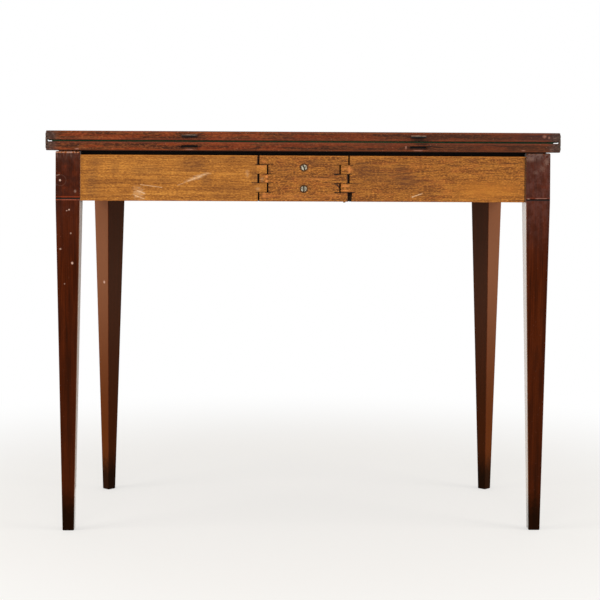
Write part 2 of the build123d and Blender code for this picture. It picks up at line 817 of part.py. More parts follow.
def lower_leaf():
    """Fixed leaf, with mortises, plate recesses and pilot holes."""
    leaf = leaf_board(lower_leaf_bottom, 1)
    leaf = with_plate_cuts(leaf, lower_leaf_top, -1)
    for side in (1, -1):
        leaf = leaf - mortise(side)
    for cut in pocket_screws():
        leaf = leaf - cut
    return leaf


def upper_leaf():
    """Folding leaf, slotted for its two tongues."""
    leaf = leaf_board(upper_leaf_bottom, -1)
    leaf = with_plate_cuts(leaf, upper_leaf_bottom, 1)
    for side in (1, -1):
        leaf = leaf - tongue(side)
    return leaf


def side_pair(name, right_shape):
    """A right-hand piece and its mirrored left-hand twin."""
    return {"right_" + name: right_shape, "left_" + name: mirrored(right_shape)}


def all_parts():
    """Every node of the table by name."""
    parts = {}
    parts["lower_leaf"] = lower_leaf()
    parts["upper_leaf"] = upper_leaf()
    parts["lower_baize"] = baize(lower_leaf_top)
    parts["upper_baize"] = baize(upper_leaf_bottom - baize_thickness)
    parts["leaf_tongues"] = Compound([tongue(1), tongue(-1)])

    gate_leg, gate_string = gate_leg_and_string()
    parts.update(side_pair("gate_leg", gate_leg))
    parts.update(side_pair("gate_leg_string", gate_string))
    parts["left_fly_rail"] = mirrored(fly_rail())
    parts["right_fly_rail"] = fly_rail() - lower_corner_chip()
    parts["hinge_block"] = hinge_block()
    parts["block_screws"] = Compound(block_screws())
    parts["left_knuckle_pin"] = knuckle_pin(-1, 0)
    parts["right_knuckle_pin"] = knuckle_pin(1, right_pin_drop)

    pockets = pocket_cuts() + pocket_screws()
    back_rail = inner_back_rail()
    front = front_rail()
    right_end = end_rail()
    left_end = mirrored(end_rail())
    for cut in pockets:
        back_rail = back_rail - cut
        front = front - cut
        right_end = right_end - cut
        left_end = left_end - cut
    parts["inner_back_rail"] = back_rail
    parts["front_rail"] = front
    parts["right_end_rail"] = right_end
    parts["left_end_rail"] = left_end
    parts.update(side_pair("corner_rail", corner_rail()))
    parts["medial_rail"] = medial_rail()
    left_veneer, front_veneer, right_veneer = frieze_veneers()
    parts["left_veneer"] = left_veneer
    parts["front_veneer"] = front_veneer
    parts["right_veneer"] = right_veneer
    parts["pocket_screws"] = Compound(pocket_screws())
    parts["glue_blocks"] = Compound(glue_blocks())

    front_leg, front_string = front_leg_and_string()
    parts.update(side_pair("front_leg", front_leg))
    parts.update(side_pair("front_leg_string", front_string))

    parts.update(side_pair("lower_hinge_plate", hinge_plate(lower_leaf_top, -1)))
    parts.update(side_pair("upper_hinge_plate", hinge_plate(upper_leaf_bottom, 1)))
    parts.update(side_pair("hinge_link", hinge_link()))
    parts.update(side_pair("link_pins", Compound(hinge_link_pins())))
    parts["lower_plate_screws"] = Compound(both_ends(plate_screws(lower_leaf_top, -1)))
    parts["upper_plate_screws"] = Compound(both_ends(plate_screws(upper_leaf_bottom, 1)))
    return parts


os.makedirs("parts", exist_ok=True)
for node, shape in all_parts().items():
    export_step(shape, f"parts/{node}.step")
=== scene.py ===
"""Looks of a fold-over card table with wooden knuckle hinges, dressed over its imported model.

The table stands closed with its back to the camera. Every length in a finish is in
millimetres in the frame of the model, and every mesh is in metres.
"""

from __future__ import annotations

import json
import logging
import math
from dataclasses import dataclass, replace
from enum import Enum
from typing import Any, Iterable

import bpy
from mathutils import Matrix, Vector

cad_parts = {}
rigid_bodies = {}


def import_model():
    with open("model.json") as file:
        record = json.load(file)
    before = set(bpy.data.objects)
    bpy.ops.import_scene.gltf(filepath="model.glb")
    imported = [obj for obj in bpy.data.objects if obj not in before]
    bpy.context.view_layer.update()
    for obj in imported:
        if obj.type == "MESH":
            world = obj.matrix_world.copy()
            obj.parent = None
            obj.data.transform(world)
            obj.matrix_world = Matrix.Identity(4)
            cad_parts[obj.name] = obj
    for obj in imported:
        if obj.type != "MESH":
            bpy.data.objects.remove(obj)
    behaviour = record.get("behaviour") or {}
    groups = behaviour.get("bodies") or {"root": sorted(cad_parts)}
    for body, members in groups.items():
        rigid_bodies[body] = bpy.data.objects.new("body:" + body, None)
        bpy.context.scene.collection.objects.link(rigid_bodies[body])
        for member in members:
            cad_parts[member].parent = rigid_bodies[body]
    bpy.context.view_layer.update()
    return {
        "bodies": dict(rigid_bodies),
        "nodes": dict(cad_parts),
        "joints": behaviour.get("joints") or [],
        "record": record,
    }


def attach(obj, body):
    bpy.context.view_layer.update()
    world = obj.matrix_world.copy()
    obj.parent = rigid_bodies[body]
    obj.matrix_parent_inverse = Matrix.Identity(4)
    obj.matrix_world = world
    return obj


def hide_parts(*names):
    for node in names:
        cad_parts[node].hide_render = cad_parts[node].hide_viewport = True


LOG = logging.getLogger("card_table")

MM = 0.001

# Levels and edges of the table, in millimetres
FRIEZE_FOOT = 591.0
LOWER_LEAF_BOTTOM = 680.0
LOWER_LEAF_TOP = 696.0
UPPER_LEAF_BOTTOM = 699.0
TABLE_TOP = 715.0
LEAF_HALF_WIDTH = 456.0
BACK_EDGE = -225.5
LEG_TOP_HALF = 21.75
GATE_LEG_X = 418.25
GATE_LEG_Y = -197.75
GATE_FOOT_HALF = 10.25
FRONT_LEG_X = 379.2
FRONT_LEG_Y = 154.7
FRONT_FOOT_HALF = 9.0
STRING_LEVEL = 594.5
RAIL_FACE = -217.5
RAIL_TOP = 672.5
KNUCKLE_REACH = 95.0
BLOCK_SCREW_FACE = RAIL_FACE + 1.9
PLATE_FACE = 457.0
TONGUE_LEVEL = 707.0
TONGUE_X = 203.0
MORTISE_LEVEL = 687.6

# Saw cuts between the knuckles from the upper one down, and the screws of the block
FIRST_CUT, SECOND_CUT, THIRD_CUT, FOURTH_CUT = 656.2, 639.9, 623.6, 607.3
UPPER_SCREW, LOWER_SCREW = 651.55, 613.55

Colour = tuple[float, float, float]
Place = tuple[float, float, float]
Pair = tuple[float, float]

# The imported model, which main() loads here
FRAME: dict[str, Any] = {}


def paint(red: int, green: int, blue: int) -> Colour:
    """Linear colour of a tint as a painter sees it.

    Args:
        red, green, blue: the parts of the tint, from 0 to 255.

    Returns:
        The colour.
    """
    def linear(level: int) -> float:
        """One channel without its display curve."""
        share = level / 255
        return share / 12.92 if share <= 0.04045 else ((share + 0.055) / 1.055) ** 2.4
    return (linear(red), linear(green), linear(blue))


class Grain(Enum):
    """The way that the fibres of a piece of wood run."""

    ALONG = "along the table"
    ACROSS = "across the table"
    UPRIGHT = "upright"


class Side(Enum):
    """The two sides of the table, as the camera sees them."""

    LEFT = -1
    RIGHT = 1

    @property
    def word(self) -> str:
        """The side's name as the nodes use it."""
        return self.name.lower()


class Flow:
    """A number, a colour or a vector on its way through the nodes of a material."""

    def __init__(self, bench: Bench, socket: bpy.types.NodeSocket) -> None:
        """Holds a socket and the bench that adds nodes for it."""
        self.bench = bench
        self.socket = socket

    def _reckon(self, operation: str, *values: Flow | float) -> Flow:
        """Adds one Math node.

        Args:
            operation: what the node works out.
            values: what it is worked out from.

        Returns:
            What comes out of it.
        """
        node = self.bench.node("ShaderNodeMath", {"operation": operation},
                               dict(enumerate(values)))
        return Flow(self.bench, node.outputs[0])

    def __add__(self, other: Flow | float) -> Flow:
        """Sum."""
        return self._reckon("ADD", self, other)

    __radd__ = __add__

    def __sub__(self, other: Flow | float) -> Flow:
        """Difference."""
        return self._reckon("SUBTRACT", self, other)

    def __rsub__(self, other: float) -> Flow:
        """Difference from a plain number."""
        return self._reckon("SUBTRACT", other, self)

    def __mul__(self, other: Flow | float) -> Flow:
        """Product."""
        return self._reckon("MULTIPLY", self, other)

    __rmul__ = __mul__

    def __truediv__(self, other: Flow | float) -> Flow:
        """Quotient."""
        return self._reckon("DIVIDE", self, other)

    def __rtruediv__(self, other: float) -> Flow:
        """Quotient of a plain number."""
        return self._reckon("DIVIDE", other, self)

    def __abs__(self) -> Flow:
        """Size without its sign."""
        return self._reckon("ABSOLUTE", self)

    def __pow__(self, power: float) -> Flow:
        """Power."""
        return self._reckon("POWER", self, power)

    def root(self) -> Flow:
        """Square root."""
        return self._reckon("SQRT", self)

    def fraction(self) -> Flow:
        """What is left above the whole number."""
        return self._reckon("FRACT", self)

    def least(self, other: Flow | float) -> Flow:
        """The smaller of two."""
        return self._reckon("MINIMUM", self, other)

    def most(self, other: Flow | float) -> Flow:
        """The larger of two."""
        return self._reckon("MAXIMUM", self, other)

    def rise(self, low: float, high: float) -> Flow:
        """Smooth step from 0 at low to 1 at high, or down where low is the larger.

        Args:
            low: value at which the step begins.
            high: value at which it is done.

        Returns:
            A number from 0 to 1.
        """
        if low > high:
            return 1.0 - self.rise(high, low)
        node = self.bench.node("ShaderNodeMapRange", {"interpolation_type": "SMOOTHSTEP"},
                               {"Value": self, "From Min": low, "From Max": high})
        return Flow(self.bench, node.outputs["Result"])

    def stained(self, share: Flow | float, tint: Flow | Colour) -> Flow:
        """This colour under a stain.

        Args:
            share: how far the stain covers it, from 0 to 1.
            tint: the colour of the stain.

        Returns:
            The colour between the two.
        """
        return self.bench.mix(share, self, tint)


def set_node(tree: bpy.types.NodeTree, kind: str, settings: dict[str, Any] | None = None,
             sockets: dict[Any, Any] | None = None) -> bpy.types.Node:
    """Adds a node to a tree.

    Args:
        tree: the tree that it joins.
        kind: the node's type.
        settings: what is set on the node first; stops are those of a ramp.
        sockets: values or links for its inputs, by name or place.

    Returns:
        The node.
    """
    node = tree.nodes.new(kind)
    for key, value in (settings or {}).items():
        if key == "stops":
            ramp = node.color_ramp
            while len(ramp.elements) < len(value):
                ramp.elements.new(1.0)
            for element, (place, colour) in zip(ramp.elements, value):
                element.position = place
                element.color = (*colour, 1.0)
        else:
            setattr(node, key, value)
    for key, value in (sockets or {}).items():
        for part in value if isinstance(value, list) else [value]:
            if isinstance(part, Flow):
                tree.links.new(part.socket, node.inputs[key])
            elif isinstance(part, bpy.types.NodeSocket):
                tree.links.new(part, node.inputs[key])
            else:
                node.inputs[key].default_value = part
    return node


class Bench:
    """The node tree of one material, and the one way in which nodes are added to it."""

    def __init__(self, name: str) -> None:
        """Starts a material with a Principled shader.

        Args:
            name: the material's name.
        """
        self.material = bpy.data.materials.new(name)
        self.material.use_nodes = True
        self.tree = self.material.node_tree
        self.tree.nodes.clear()
        self.shader = self.node("ShaderNodeBsdfPrincipled")
        self.output = self.node("ShaderNodeOutputMaterial", {},
                                {"Surface": Flow(self, self.shader.outputs[0])})

    def node(self, kind: str, settings: dict[str, Any] | None = None,
             sockets: dict[Any, Any] | None = None) -> bpy.types.Node:
        """Adds a node to this material, as set_node does."""
        return set_node(self.tree, kind, settings, sockets)

    def place(self) -> Spot:
        """Where a point is on the table at rest.

        Returns:
            Its places along, across and up, in millimetres.
        """
        where = self.node("ShaderNodeTexCoord").outputs["Object"]
        scaled = self.node("ShaderNodeVectorMath", {"operation": "SCALE"},
                           {0: Flow(self, where), "Scale": 1 / MM})
        parts = self.node("ShaderNodeSeparateXYZ", {}, {0: Flow(self, scaled.outputs[0])})
        return tuple(Flow(self, socket) for socket in parts.outputs)

    def facing(self) -> Spot:
        """Which way the surface faces, in the table's own frame.

        Returns:
            Three numbers from -1 to 1.
        """
        normal = self.node("ShaderNodeTexCoord").outputs["Normal"]
        parts = self.node("ShaderNodeSeparateXYZ", {}, {0: Flow(self, normal)})
        return tuple(Flow(self, socket) for socket in parts.outputs)

    def vector(self, x: Flow | float, y: Flow | float, z: Flow | float) -> Flow:
        """Three numbers as one vector."""
        node = self.node("ShaderNodeCombineXYZ", {}, {0: x, 1: y, 2: z})
        return Flow(self, node.outputs[0])

    def noise(self, place: tuple[Flow | float, ...], sizes: tuple[float, ...],
              detail: float = 2.0, roughness: float = 0.5, distortion: float = 0.0) -> Flow:
        """Cloudy noise about 0.5.

        Args:
            place: three numbers that say where it is read.
            sizes: how long its clouds are in each of these three ways.
            detail, roughness, distortion: how fine, rough and twisted the clouds are.

        Returns:
            The noise.
        """
        where = self.vector(*(part / size for part, size in zip(place, sizes)))
        node = self.node("ShaderNodeTexNoise", {"noise_dimensions": "3D"},
                         {"Vector": where, "Scale": 1.0, "Detail": detail,
                          "Roughness": roughness, "Distortion": distortion})
        return Flow(self, node.outputs[0])

    def mix(self, share: Flow | float, first: Flow | Colour, second: Flow | Colour) -> Flow:
        """Colour between two others.

        Args:
            share: how far it lies from the first to the second.
            first, second: the two colours.

        Returns:
            The colour.
        """
        def ready(colour: Flow | Colour) -> Any:
            """A colour in the form that a socket takes."""
            return colour if isinstance(colour, Flow) else (*colour, 1.0)
        node = self.node("ShaderNodeMix", {"data_type": "RGBA"},
                         {0: share, 6: ready(first), 7: ready(second)})
        return Flow(self, node.outputs[2])

    def ramp(self, value: Flow, *stops: tuple[float, Colour]) -> Flow:
        """Colour that a number picks from a row of stops."""
        node = self.node("ShaderNodeValToRGB", {"stops": stops}, {0: value})
        return Flow(self, node.outputs[0])

    def bump(self, height: Flow, depth: float, strength: float = 1.0) -> Flow:
        """Normal of a textured surface.

        Args:
            height: how high the surface is, from 0 to 1.
            depth: the height of 1, in millimetres.
            strength: how much of the texture shows.

        Returns:
            The normal.
        """
        node = self.node("ShaderNodeBump", {},
                         {"Height": height, "Distance": depth * MM, "Strength": strength})
        return Flow(self, node.outputs[0])

    def finish(self, **sockets: Any) -> bpy.types.Material:
        """Sets the shader's sockets and gives the material.

        Args:
            sockets: numbers, colours or flows, with _ for a space in a socket's name.

        Returns:
            The finished material.
        """
        for key, value in sockets.items():
            socket = self.shader.inputs[key.replace("_", " ").title().replace("Ior", "IOR")]
            if isinstance(value, Flow):
                self.tree.links.new(value.socket, socket)
            elif isinstance(value, tuple) and len(value) == 3:
                socket.default_value = (*value, 1.0)
            else:
                socket.default_value = value
        return self.material


@dataclass(frozen=True)
class Blot:
    """A soft-edged mark on an upright face, in millimetres along and above the floor."""

    x: float
    z: float
    width: float
    height: float
    strength: float
    lean: float = 0.0
    ragged: float = 0.5

    def spread(self, x: Flow, z: Flow, wobble: Flow) -> Flow:
        """How strongly the mark shows at a point.

        Args:
            x: place along the table.
            z: height over the floor.
            wobble: noise about 0 that breaks up the edge.

        Returns:
            A number from 0 to the mark's strength.
        """
        turn = math.radians(self.lean)
        across = (x - self.x) * math.cos(turn) + (z - self.z) * math.sin(turn)
        above = (z - self.z) * math.cos(turn) - (x - self.x) * math.sin(turn)
        far = ((across / self.width) ** 2.0 + (above / self.height) ** 2.0).root()
        return (far + wobble * self.ragged).rise(1.25, 0.15) * self.strength


@dataclass(frozen=True)
class Ring:
    """A thin round mark on an upright face."""

    x: float
    z: float
    radius: float
    width: float
    strength: float

    def spread(self, x: Flow, z: Flow, wobble: Flow) -> Flow:
        """How strongly the ring shows at a point, broken where noise is low.

        Args:
            x: place along the table.
            z: height over the floor.
            wobble: noise about 0 that breaks up the edge.

        Returns:
            A number from 0 to the ring's strength.
        """
        far = ((x - self.x) ** 2.0 + (z - self.z) ** 2.0).root()
        off = abs(far - self.radius) + wobble * self.width
        return off.rise(self.width, 0.2 * self.width) * self.strength


@dataclass(frozen=True)
class Scratch:
    """A thin straight mark between two points of an upright face."""

    start: Pair
    end: Pair
    width: float
    strength: float

    def spread(self, x: Flow, z: Flow, wobble: Flow) -> Flow:
        """How strongly the scratch shows at a point, with gaps from noise.

        Args:
            x: place along the table.
            z: height over the floor.
            wobble: noise about 0 that breaks up the edge.

        Returns:
            A number from 0 to the scratch's strength.
        """
        run = (self.end[0] - self.start[0], self.end[1] - self.start[1])
        length = math.hypot(*run)
        along = ((x - self.start[0]) * run[0] + (z - self.start[1]) * run[1]) / length ** 2
        along = along.most(0.0).least(1.0)
        away_x = x - self.start[0] - along * run[0]
        away_z = z - self.start[1] - along * run[1]
        far = (away_x ** 2.0 + away_z ** 2.0).root()
        return (far + wobble * self.width).rise(self.width, 0.2 * self.width) * self.strength


Mark = Blot | Ring | Scratch
Spot = tuple[Flow, Flow, Flow]


def shown(marks: Iterable[Mark], x: Flow, z: Flow, wobble: Flow) -> Flow | float:
    """How strongly a group of marks shows at a point.

    Args:
        marks: the marks.
        x: place along the face.
        z: place up the face.
        wobble: noise about 0 that breaks up their edges.

    Returns:
        A number from 0 to 1, or a plain 0 where there are no marks.
    """
    out: Flow | float = 0.0
    for mark in marks:
        out = mark.spread(x, z, wobble) + out
    return out.least(1.0) if isinstance(out, Flow) else out


@dataclass(frozen=True)
class Timber:
    """Solid wood: growth rings round a pith, long fibres and open pores.

    Args:
        grain: the way that the fibres run.
        dark, middle, light: the three tints of the wood.
        pith: place of the tree's centre across the grain, in millimetres.
        ring: distance from ring to ring.
        rings, fibres, pores: how much each of them shows, from 0 to 1.
        fibre_length: how long a fibre runs before it dips out of sight.
        wander: how far the rings stray from a true circle, in millimetres.
    """

    grain: Grain
    dark: Colour
    middle: Colour
    light: Colour
    pith: Pair = (0.0, -400.0)
    ring: float = 4.0
    rings: float = 0.5
    fibres: float = 0.5
    pores: float = 0.5
    wander: float = 14.0
    fibre_length: float = 34.0

    def axes(self, x: Flow, y: Flow, z: Flow) -> Spot:
        """Turns a place so that it follows the grain.

        Args:
            x, y, z: place in millimetres.

        Returns:
            Places along the grain and in the two ways across it.
        """
        if self.grain is Grain.ALONG:
            return x, y, z
        if self.grain is Grain.ACROSS:
            return y, x, z
        return z, x, y

    def figure(self, bench: Bench, x: Flow, y: Flow, z: Flow) -> tuple[Flow, Flow]:
        """Colour of the bare wood and a height for its texture.

        Args:
            bench: where the nodes are added.
            x, y, z: place in millimetres.

        Returns:
            The colour, and a number about 0.5 that is low in the pores.
        """
        fibres = along, wide, deep = self.axes(x, y, z)
        stray = bench.noise(fibres, (420, 70, 70), 2) - 0.5
        away = ((wide - self.pith[0]) ** 2 + (deep - self.pith[1]) ** 2).root()
        turns = (away + stray * (2 * self.wander)) / self.ring
        saw = turns.fraction()
        line = saw.rise(0.25, 0.92) * saw.rise(1, 0.93)
        year = bench.noise((turns * 0.31, along, 0), (1, 900, 1), 1)
        line = line * (0.35 + year)
        fibre = bench.noise(fibres, (self.fibre_length, 1.3, 1.3), 4, 0.62)
        streak = bench.noise(fibres, (190, 7, 7), 3, 0.55)
        pore = bench.noise(fibres, (9, 0.42, 0.42), 1).rise(0.60, 0.72)
        tone = (0.5 + (streak - 0.5) * 1.5 + (fibre - 0.5) * (1.4 * self.fibres)
                - line * (0.55 * self.rings))
        colour = bench.ramp(tone, (0.12, self.dark), (0.5, self.middle), (0.9, self.light))
        shade = pore * (0.55 * self.pores)
        colour = colour.stained(shade, tuple(0.35 * level for level in self.dark))
        height = fibre * 0.6 + 0.2 - pore * (0.6 * self.pores) - line * (0.3 * self.rings)
        return colour, height


MAHOGANY_TOP = Timber(Grain.ALONG, paint(50, 22, 8), paint(100, 50, 24), paint(134, 76, 36),
                      pith=(60, 380), ring=3.6, rings=0.45, fibres=0.95, pores=0.8,
                      fibre_length=9)
MAHOGANY_VENEER = Timber(Grain.ALONG, paint(56, 26, 16), paint(100, 48, 28),
                         paint(130, 70, 40), pith=(-80, 480), ring=5, rings=0.6,
                         fibres=0.6, pores=0.7, wander=26)
MAHOGANY_LEG = Timber(Grain.UPRIGHT, paint(46, 16, 4), paint(72, 26, 6), paint(88, 36, 11),
                      pith=(0, 60), ring=3.2, rings=0.3, fibres=0.4, pores=0.6)
BEECH_RAIL = Timber(Grain.ALONG, paint(120, 68, 18), paint(172, 108, 38),
                    paint(198, 134, 54), pith=(-120, 520), ring=3.4, rings=0.35,
                    fibres=0.7, pores=0.5, wander=18, fibre_length=8)
CARCASS_PINE = Timber(Grain.ALONG, paint(96, 58, 30), paint(138, 92, 52),
                      paint(160, 114, 70), pith=(0, 500), ring=4.6, rings=0.8,
                      fibres=0.6, pores=0.1)


@dataclass(frozen=True)
class LeafFinish:
    """Old wax over mahogany on a leaf, with a rubbed and stained edge and a bare underside,
    and painted shade along the edge, in the mortises and under the tongues.

    Args:
        name: the material's name.
        playing_level: height of the leaf's playing face.
        outer_level: height of its other face.
        polished: whether that other face is polished, as on the upper leaf.
        grimy: how far from that face the painted shade on the edge reaches.
        worn: bare marks on the hinged edge.
        dark: near-black marks there, and painted shade in the mortises and under the tongues.
        hollow_level: height of the two mortises for the tongues, whose insides are painted black
            as shade.
        glass_rings: pale rings that wet glasses have left on the polished face.
        timber: the wood under the wax.
    """

    name: str
    playing_level: float
    outer_level: float
    polished: bool
    grimy: float = 1.3
    worn: tuple[Mark, ...] = ()
    dark: tuple[Mark, ...] = ()
    hollow_level: float = 0.0
    glass_rings: tuple[Mark, ...] = (Ring(-170, 20, 42, 2.4, 0.35), Ring(212, -60, 38, 2, 0.3))
    timber: Timber = MAHOGANY_TOP

    def made(self) -> bpy.types.Material:
        """Builds the material.

        Returns:
            The material.
        """
        bench = Bench(self.name)
        place = x, y, z = bench.place()
        wood, height = self.timber.figure(bench, x, y, z)
        wood = self.clouded(bench, wood, place)
        ragged = (bench.noise(place, (14, 14, 5), 3) - 0.5) * 2.6
        edge = (y - BACK_EDGE).rise(4, 1).most((abs(x) - LEAF_HALF_WIDTH).rise(-4, -1))
        outer = abs(z - self.outer_level)
        inner = abs(z - self.playing_level)
        rub = (outer + ragged).rise(3.6, 1.4) * edge
        wood = wood.stained(rub * 0.45, paint(150, 74, 34))
        # painted shade along the edge next to the outer face
        wood = wood.stained(outer.rise(self.grimy, 0.6) * edge * 0.8, paint(36, 17, 10))
        wood = wood.stained((inner + ragged).rise(4.4, 1.6) * edge * 0.35,
                            paint(138, 66, 44))
        # iron stain of the hinge plates on the ends of the hinged edge
        iron = (abs(x) + ragged * 2).rise(430, 446) * (y - BACK_EDGE).rise(12, 1)
        blotch = bench.noise(place, (3.5, 3.5, 2.5), 4, 0.7)
        rust = bench.ramp(blotch, (0.38, paint(44, 31, 27)), (0.56, paint(76, 57, 50)),
                          (0.68, paint(122, 100, 90)))
        wood = self.marked(wood.stained(iron * 0.8, rust), place, blotch - 0.5)
        speck = bench.noise(place, (2.6, 2.6, 2), 2)
        wood = wood.stained(speck.rise(0.70, 0.76) * 0.5 * edge, paint(196, 150, 120))
        flat = abs(bench.facing()[2]).rise(0.6, 0.9) * outer.rise(2, 0.5)
        wood = self.outside(bench, wood, place, flat, blotch)
        dull = bench.noise(place, (130, 90, 40), 3, 0.6)
        rough = 0.30 + dull.rise(0.4, 0.75) * 0.14 + rub * 0.1 + iron * 0.15
        return bench.finish(base_color=wood, roughness=rough, specular_ior_level=0.08,
                            coat_weight=flat * 0.35 if self.polished else 0,
                            coat_roughness=0.16, normal=bench.bump(height, 0.12, 0.5))

    def clouded(self, bench: Bench, wood: Flow, place: Spot) -> Flow:
        """The wood under uneven wax, browner towards the right.

        Args:
            bench: where the nodes are added.
            wood: the leaf's colour so far.
            place: where a point lies.

        Returns:
            The colour.
        """
        x, y, z = place
        cloud = bench.noise(place, (48, 48, 9), 4, 0.6)
        wood = wood.stained(cloud.rise(0.47, 0.60) * 0.7, paint(52, 24, 12))
        redder = bench.noise((x + 2400, y, z), (60, 60, 8), 3)
        wood = wood.stained(redder.rise(0.50, 0.58) * 0.6, paint(136, 56, 22))
        grit = bench.noise(place, (4, 4, 1.8), 3, 0.6)
        wood = wood.stained(grit.rise(0.51, 0.62) * 0.5, paint(50, 24, 12))
        wood = wood.stained(grit.rise(0.47, 0.37) * 0.4, paint(150, 84, 46))
        wood = wood.stained(x.rise(-300, 400) * 0.6, paint(66, 38, 26))
        if self.polished:
            wood = wood.stained(x.rise(310, 430) * 0.55, paint(56, 34, 34))
        return wood

    def marked(self, wood: Flow, place: Spot, wobble: Flow) -> Flow:
        """The hinged edge with its marks, and the two mortises painted black inside as shade.

        Args:
            wood: the leaf's colour so far.
            place: where a point lies.
            wobble: noise about 0 that breaks up the edges of the marks.

        Returns:
            The colour.
        """
        x, y, z = place
        on_edge = (y - BACK_EDGE).rise(3, 0.5)
        wood = wood.stained(shown(self.worn, x, z, wobble) * on_edge, paint(164, 112, 94))
        # dark marks, and painted shade in the mortises and under the tongues
        wood = wood.stained(shown(self.dark, x, z, wobble) * on_edge, paint(30, 16, 12))
        # painted shade: black inside the mortises
        mortise_shade_mask = (abs(abs(x) - TONGUE_X).rise(15.2, 13.4) * (y - BACK_EDGE).rise(0.2, 1)
                  * abs(z - self.hollow_level - 1.4).rise(3.4, 2.2))
        return wood.stained(mortise_shade_mask * 0.97, paint(8, 5, 4))

    def outside(self, bench: Bench, wood: Flow, place: Spot, flat: Flow,
                blotch: Flow) -> Flow:
        """The outer face: polished, faded and ringed on top, bare and dark below.

        Args:
            bench: where the nodes are added.
            wood: the leaf's colour so far.
            place: where a point lies.
            flat: 1 on the outer face.
            blotch: fine noise about 0.5.

        Returns:
            The colour.
        """
        if not self.polished:
            wood = wood.stained(flat * 0.8, paint(66, 44, 30))
            return wood.stained(flat * blotch.rise(0.4, 0.7) * 0.5, paint(40, 25, 17))
        sun = bench.noise(place, (210, 160, 1), 3, 0.5)
        wood = wood.stained(flat * sun.rise(0.35, 0.7) * 0.45, paint(142, 76, 40))
        rings = shown(self.glass_rings, place[0], place[1], blotch - 0.5)
        return wood.stained(rings * flat, paint(168, 118, 88))


@dataclass(frozen=True)
class VeneerFinish:
    """French polish on the frieze veneer."""

    name: str = "frieze_mahogany"
    timber: Timber = MAHOGANY_VENEER

    def made(self) -> bpy.types.Material:
        """Builds the material.

        Returns:
            The material.
        """
        bench = Bench(self.name)
        place = x, y, z = bench.place()
        bend = (bench.noise(place, (170, 170, 60), 2) - 0.5) * 26
        height = bench.noise((x, y, z + bend), (26, 26, 1.7), 4, 0.62)
        wood = bench.ramp(height, (0.34, self.timber.dark), (0.5, self.timber.middle),
                          (0.66, self.timber.light))
        stripe = bench.noise((x, y, z + bend), (240, 240, 7), 3, 0.6)
        wood = wood.stained(stripe.rise(0.47, 0.60) * 0.5, paint(60, 25, 12))
        wood = wood.stained(stripe.rise(0.46, 0.34) * 0.4, paint(134, 66, 32))
        flame = bench.noise(place, (60, 60, 160), 3, 0.5, 0.8)
        wood = wood.stained(flame.rise(0.44, 0.62) * 0.3, paint(64, 26, 13))
        # darker along the frieze's foot, and painted shade under the leaf
        dark_foot_and_leaf_shade = abs(z - FRIEZE_FOOT).rise(5, 0).most(
            z.rise(LOWER_LEAF_BOTTOM - 8, LOWER_LEAF_BOTTOM))
        wood = wood.stained(dark_foot_and_leaf_shade * 0.5, paint(38, 18, 12))
        dull = bench.noise(place, (80, 80, 60), 3)
        return bench.finish(base_color=wood, roughness=0.24 + dull.rise(0.4, 0.8) * 0.16,
                            specular_ior_level=0.2, coat_weight=0.22, coat_roughness=0.14,
                            normal=bench.bump(height, 0.04, 0.3))


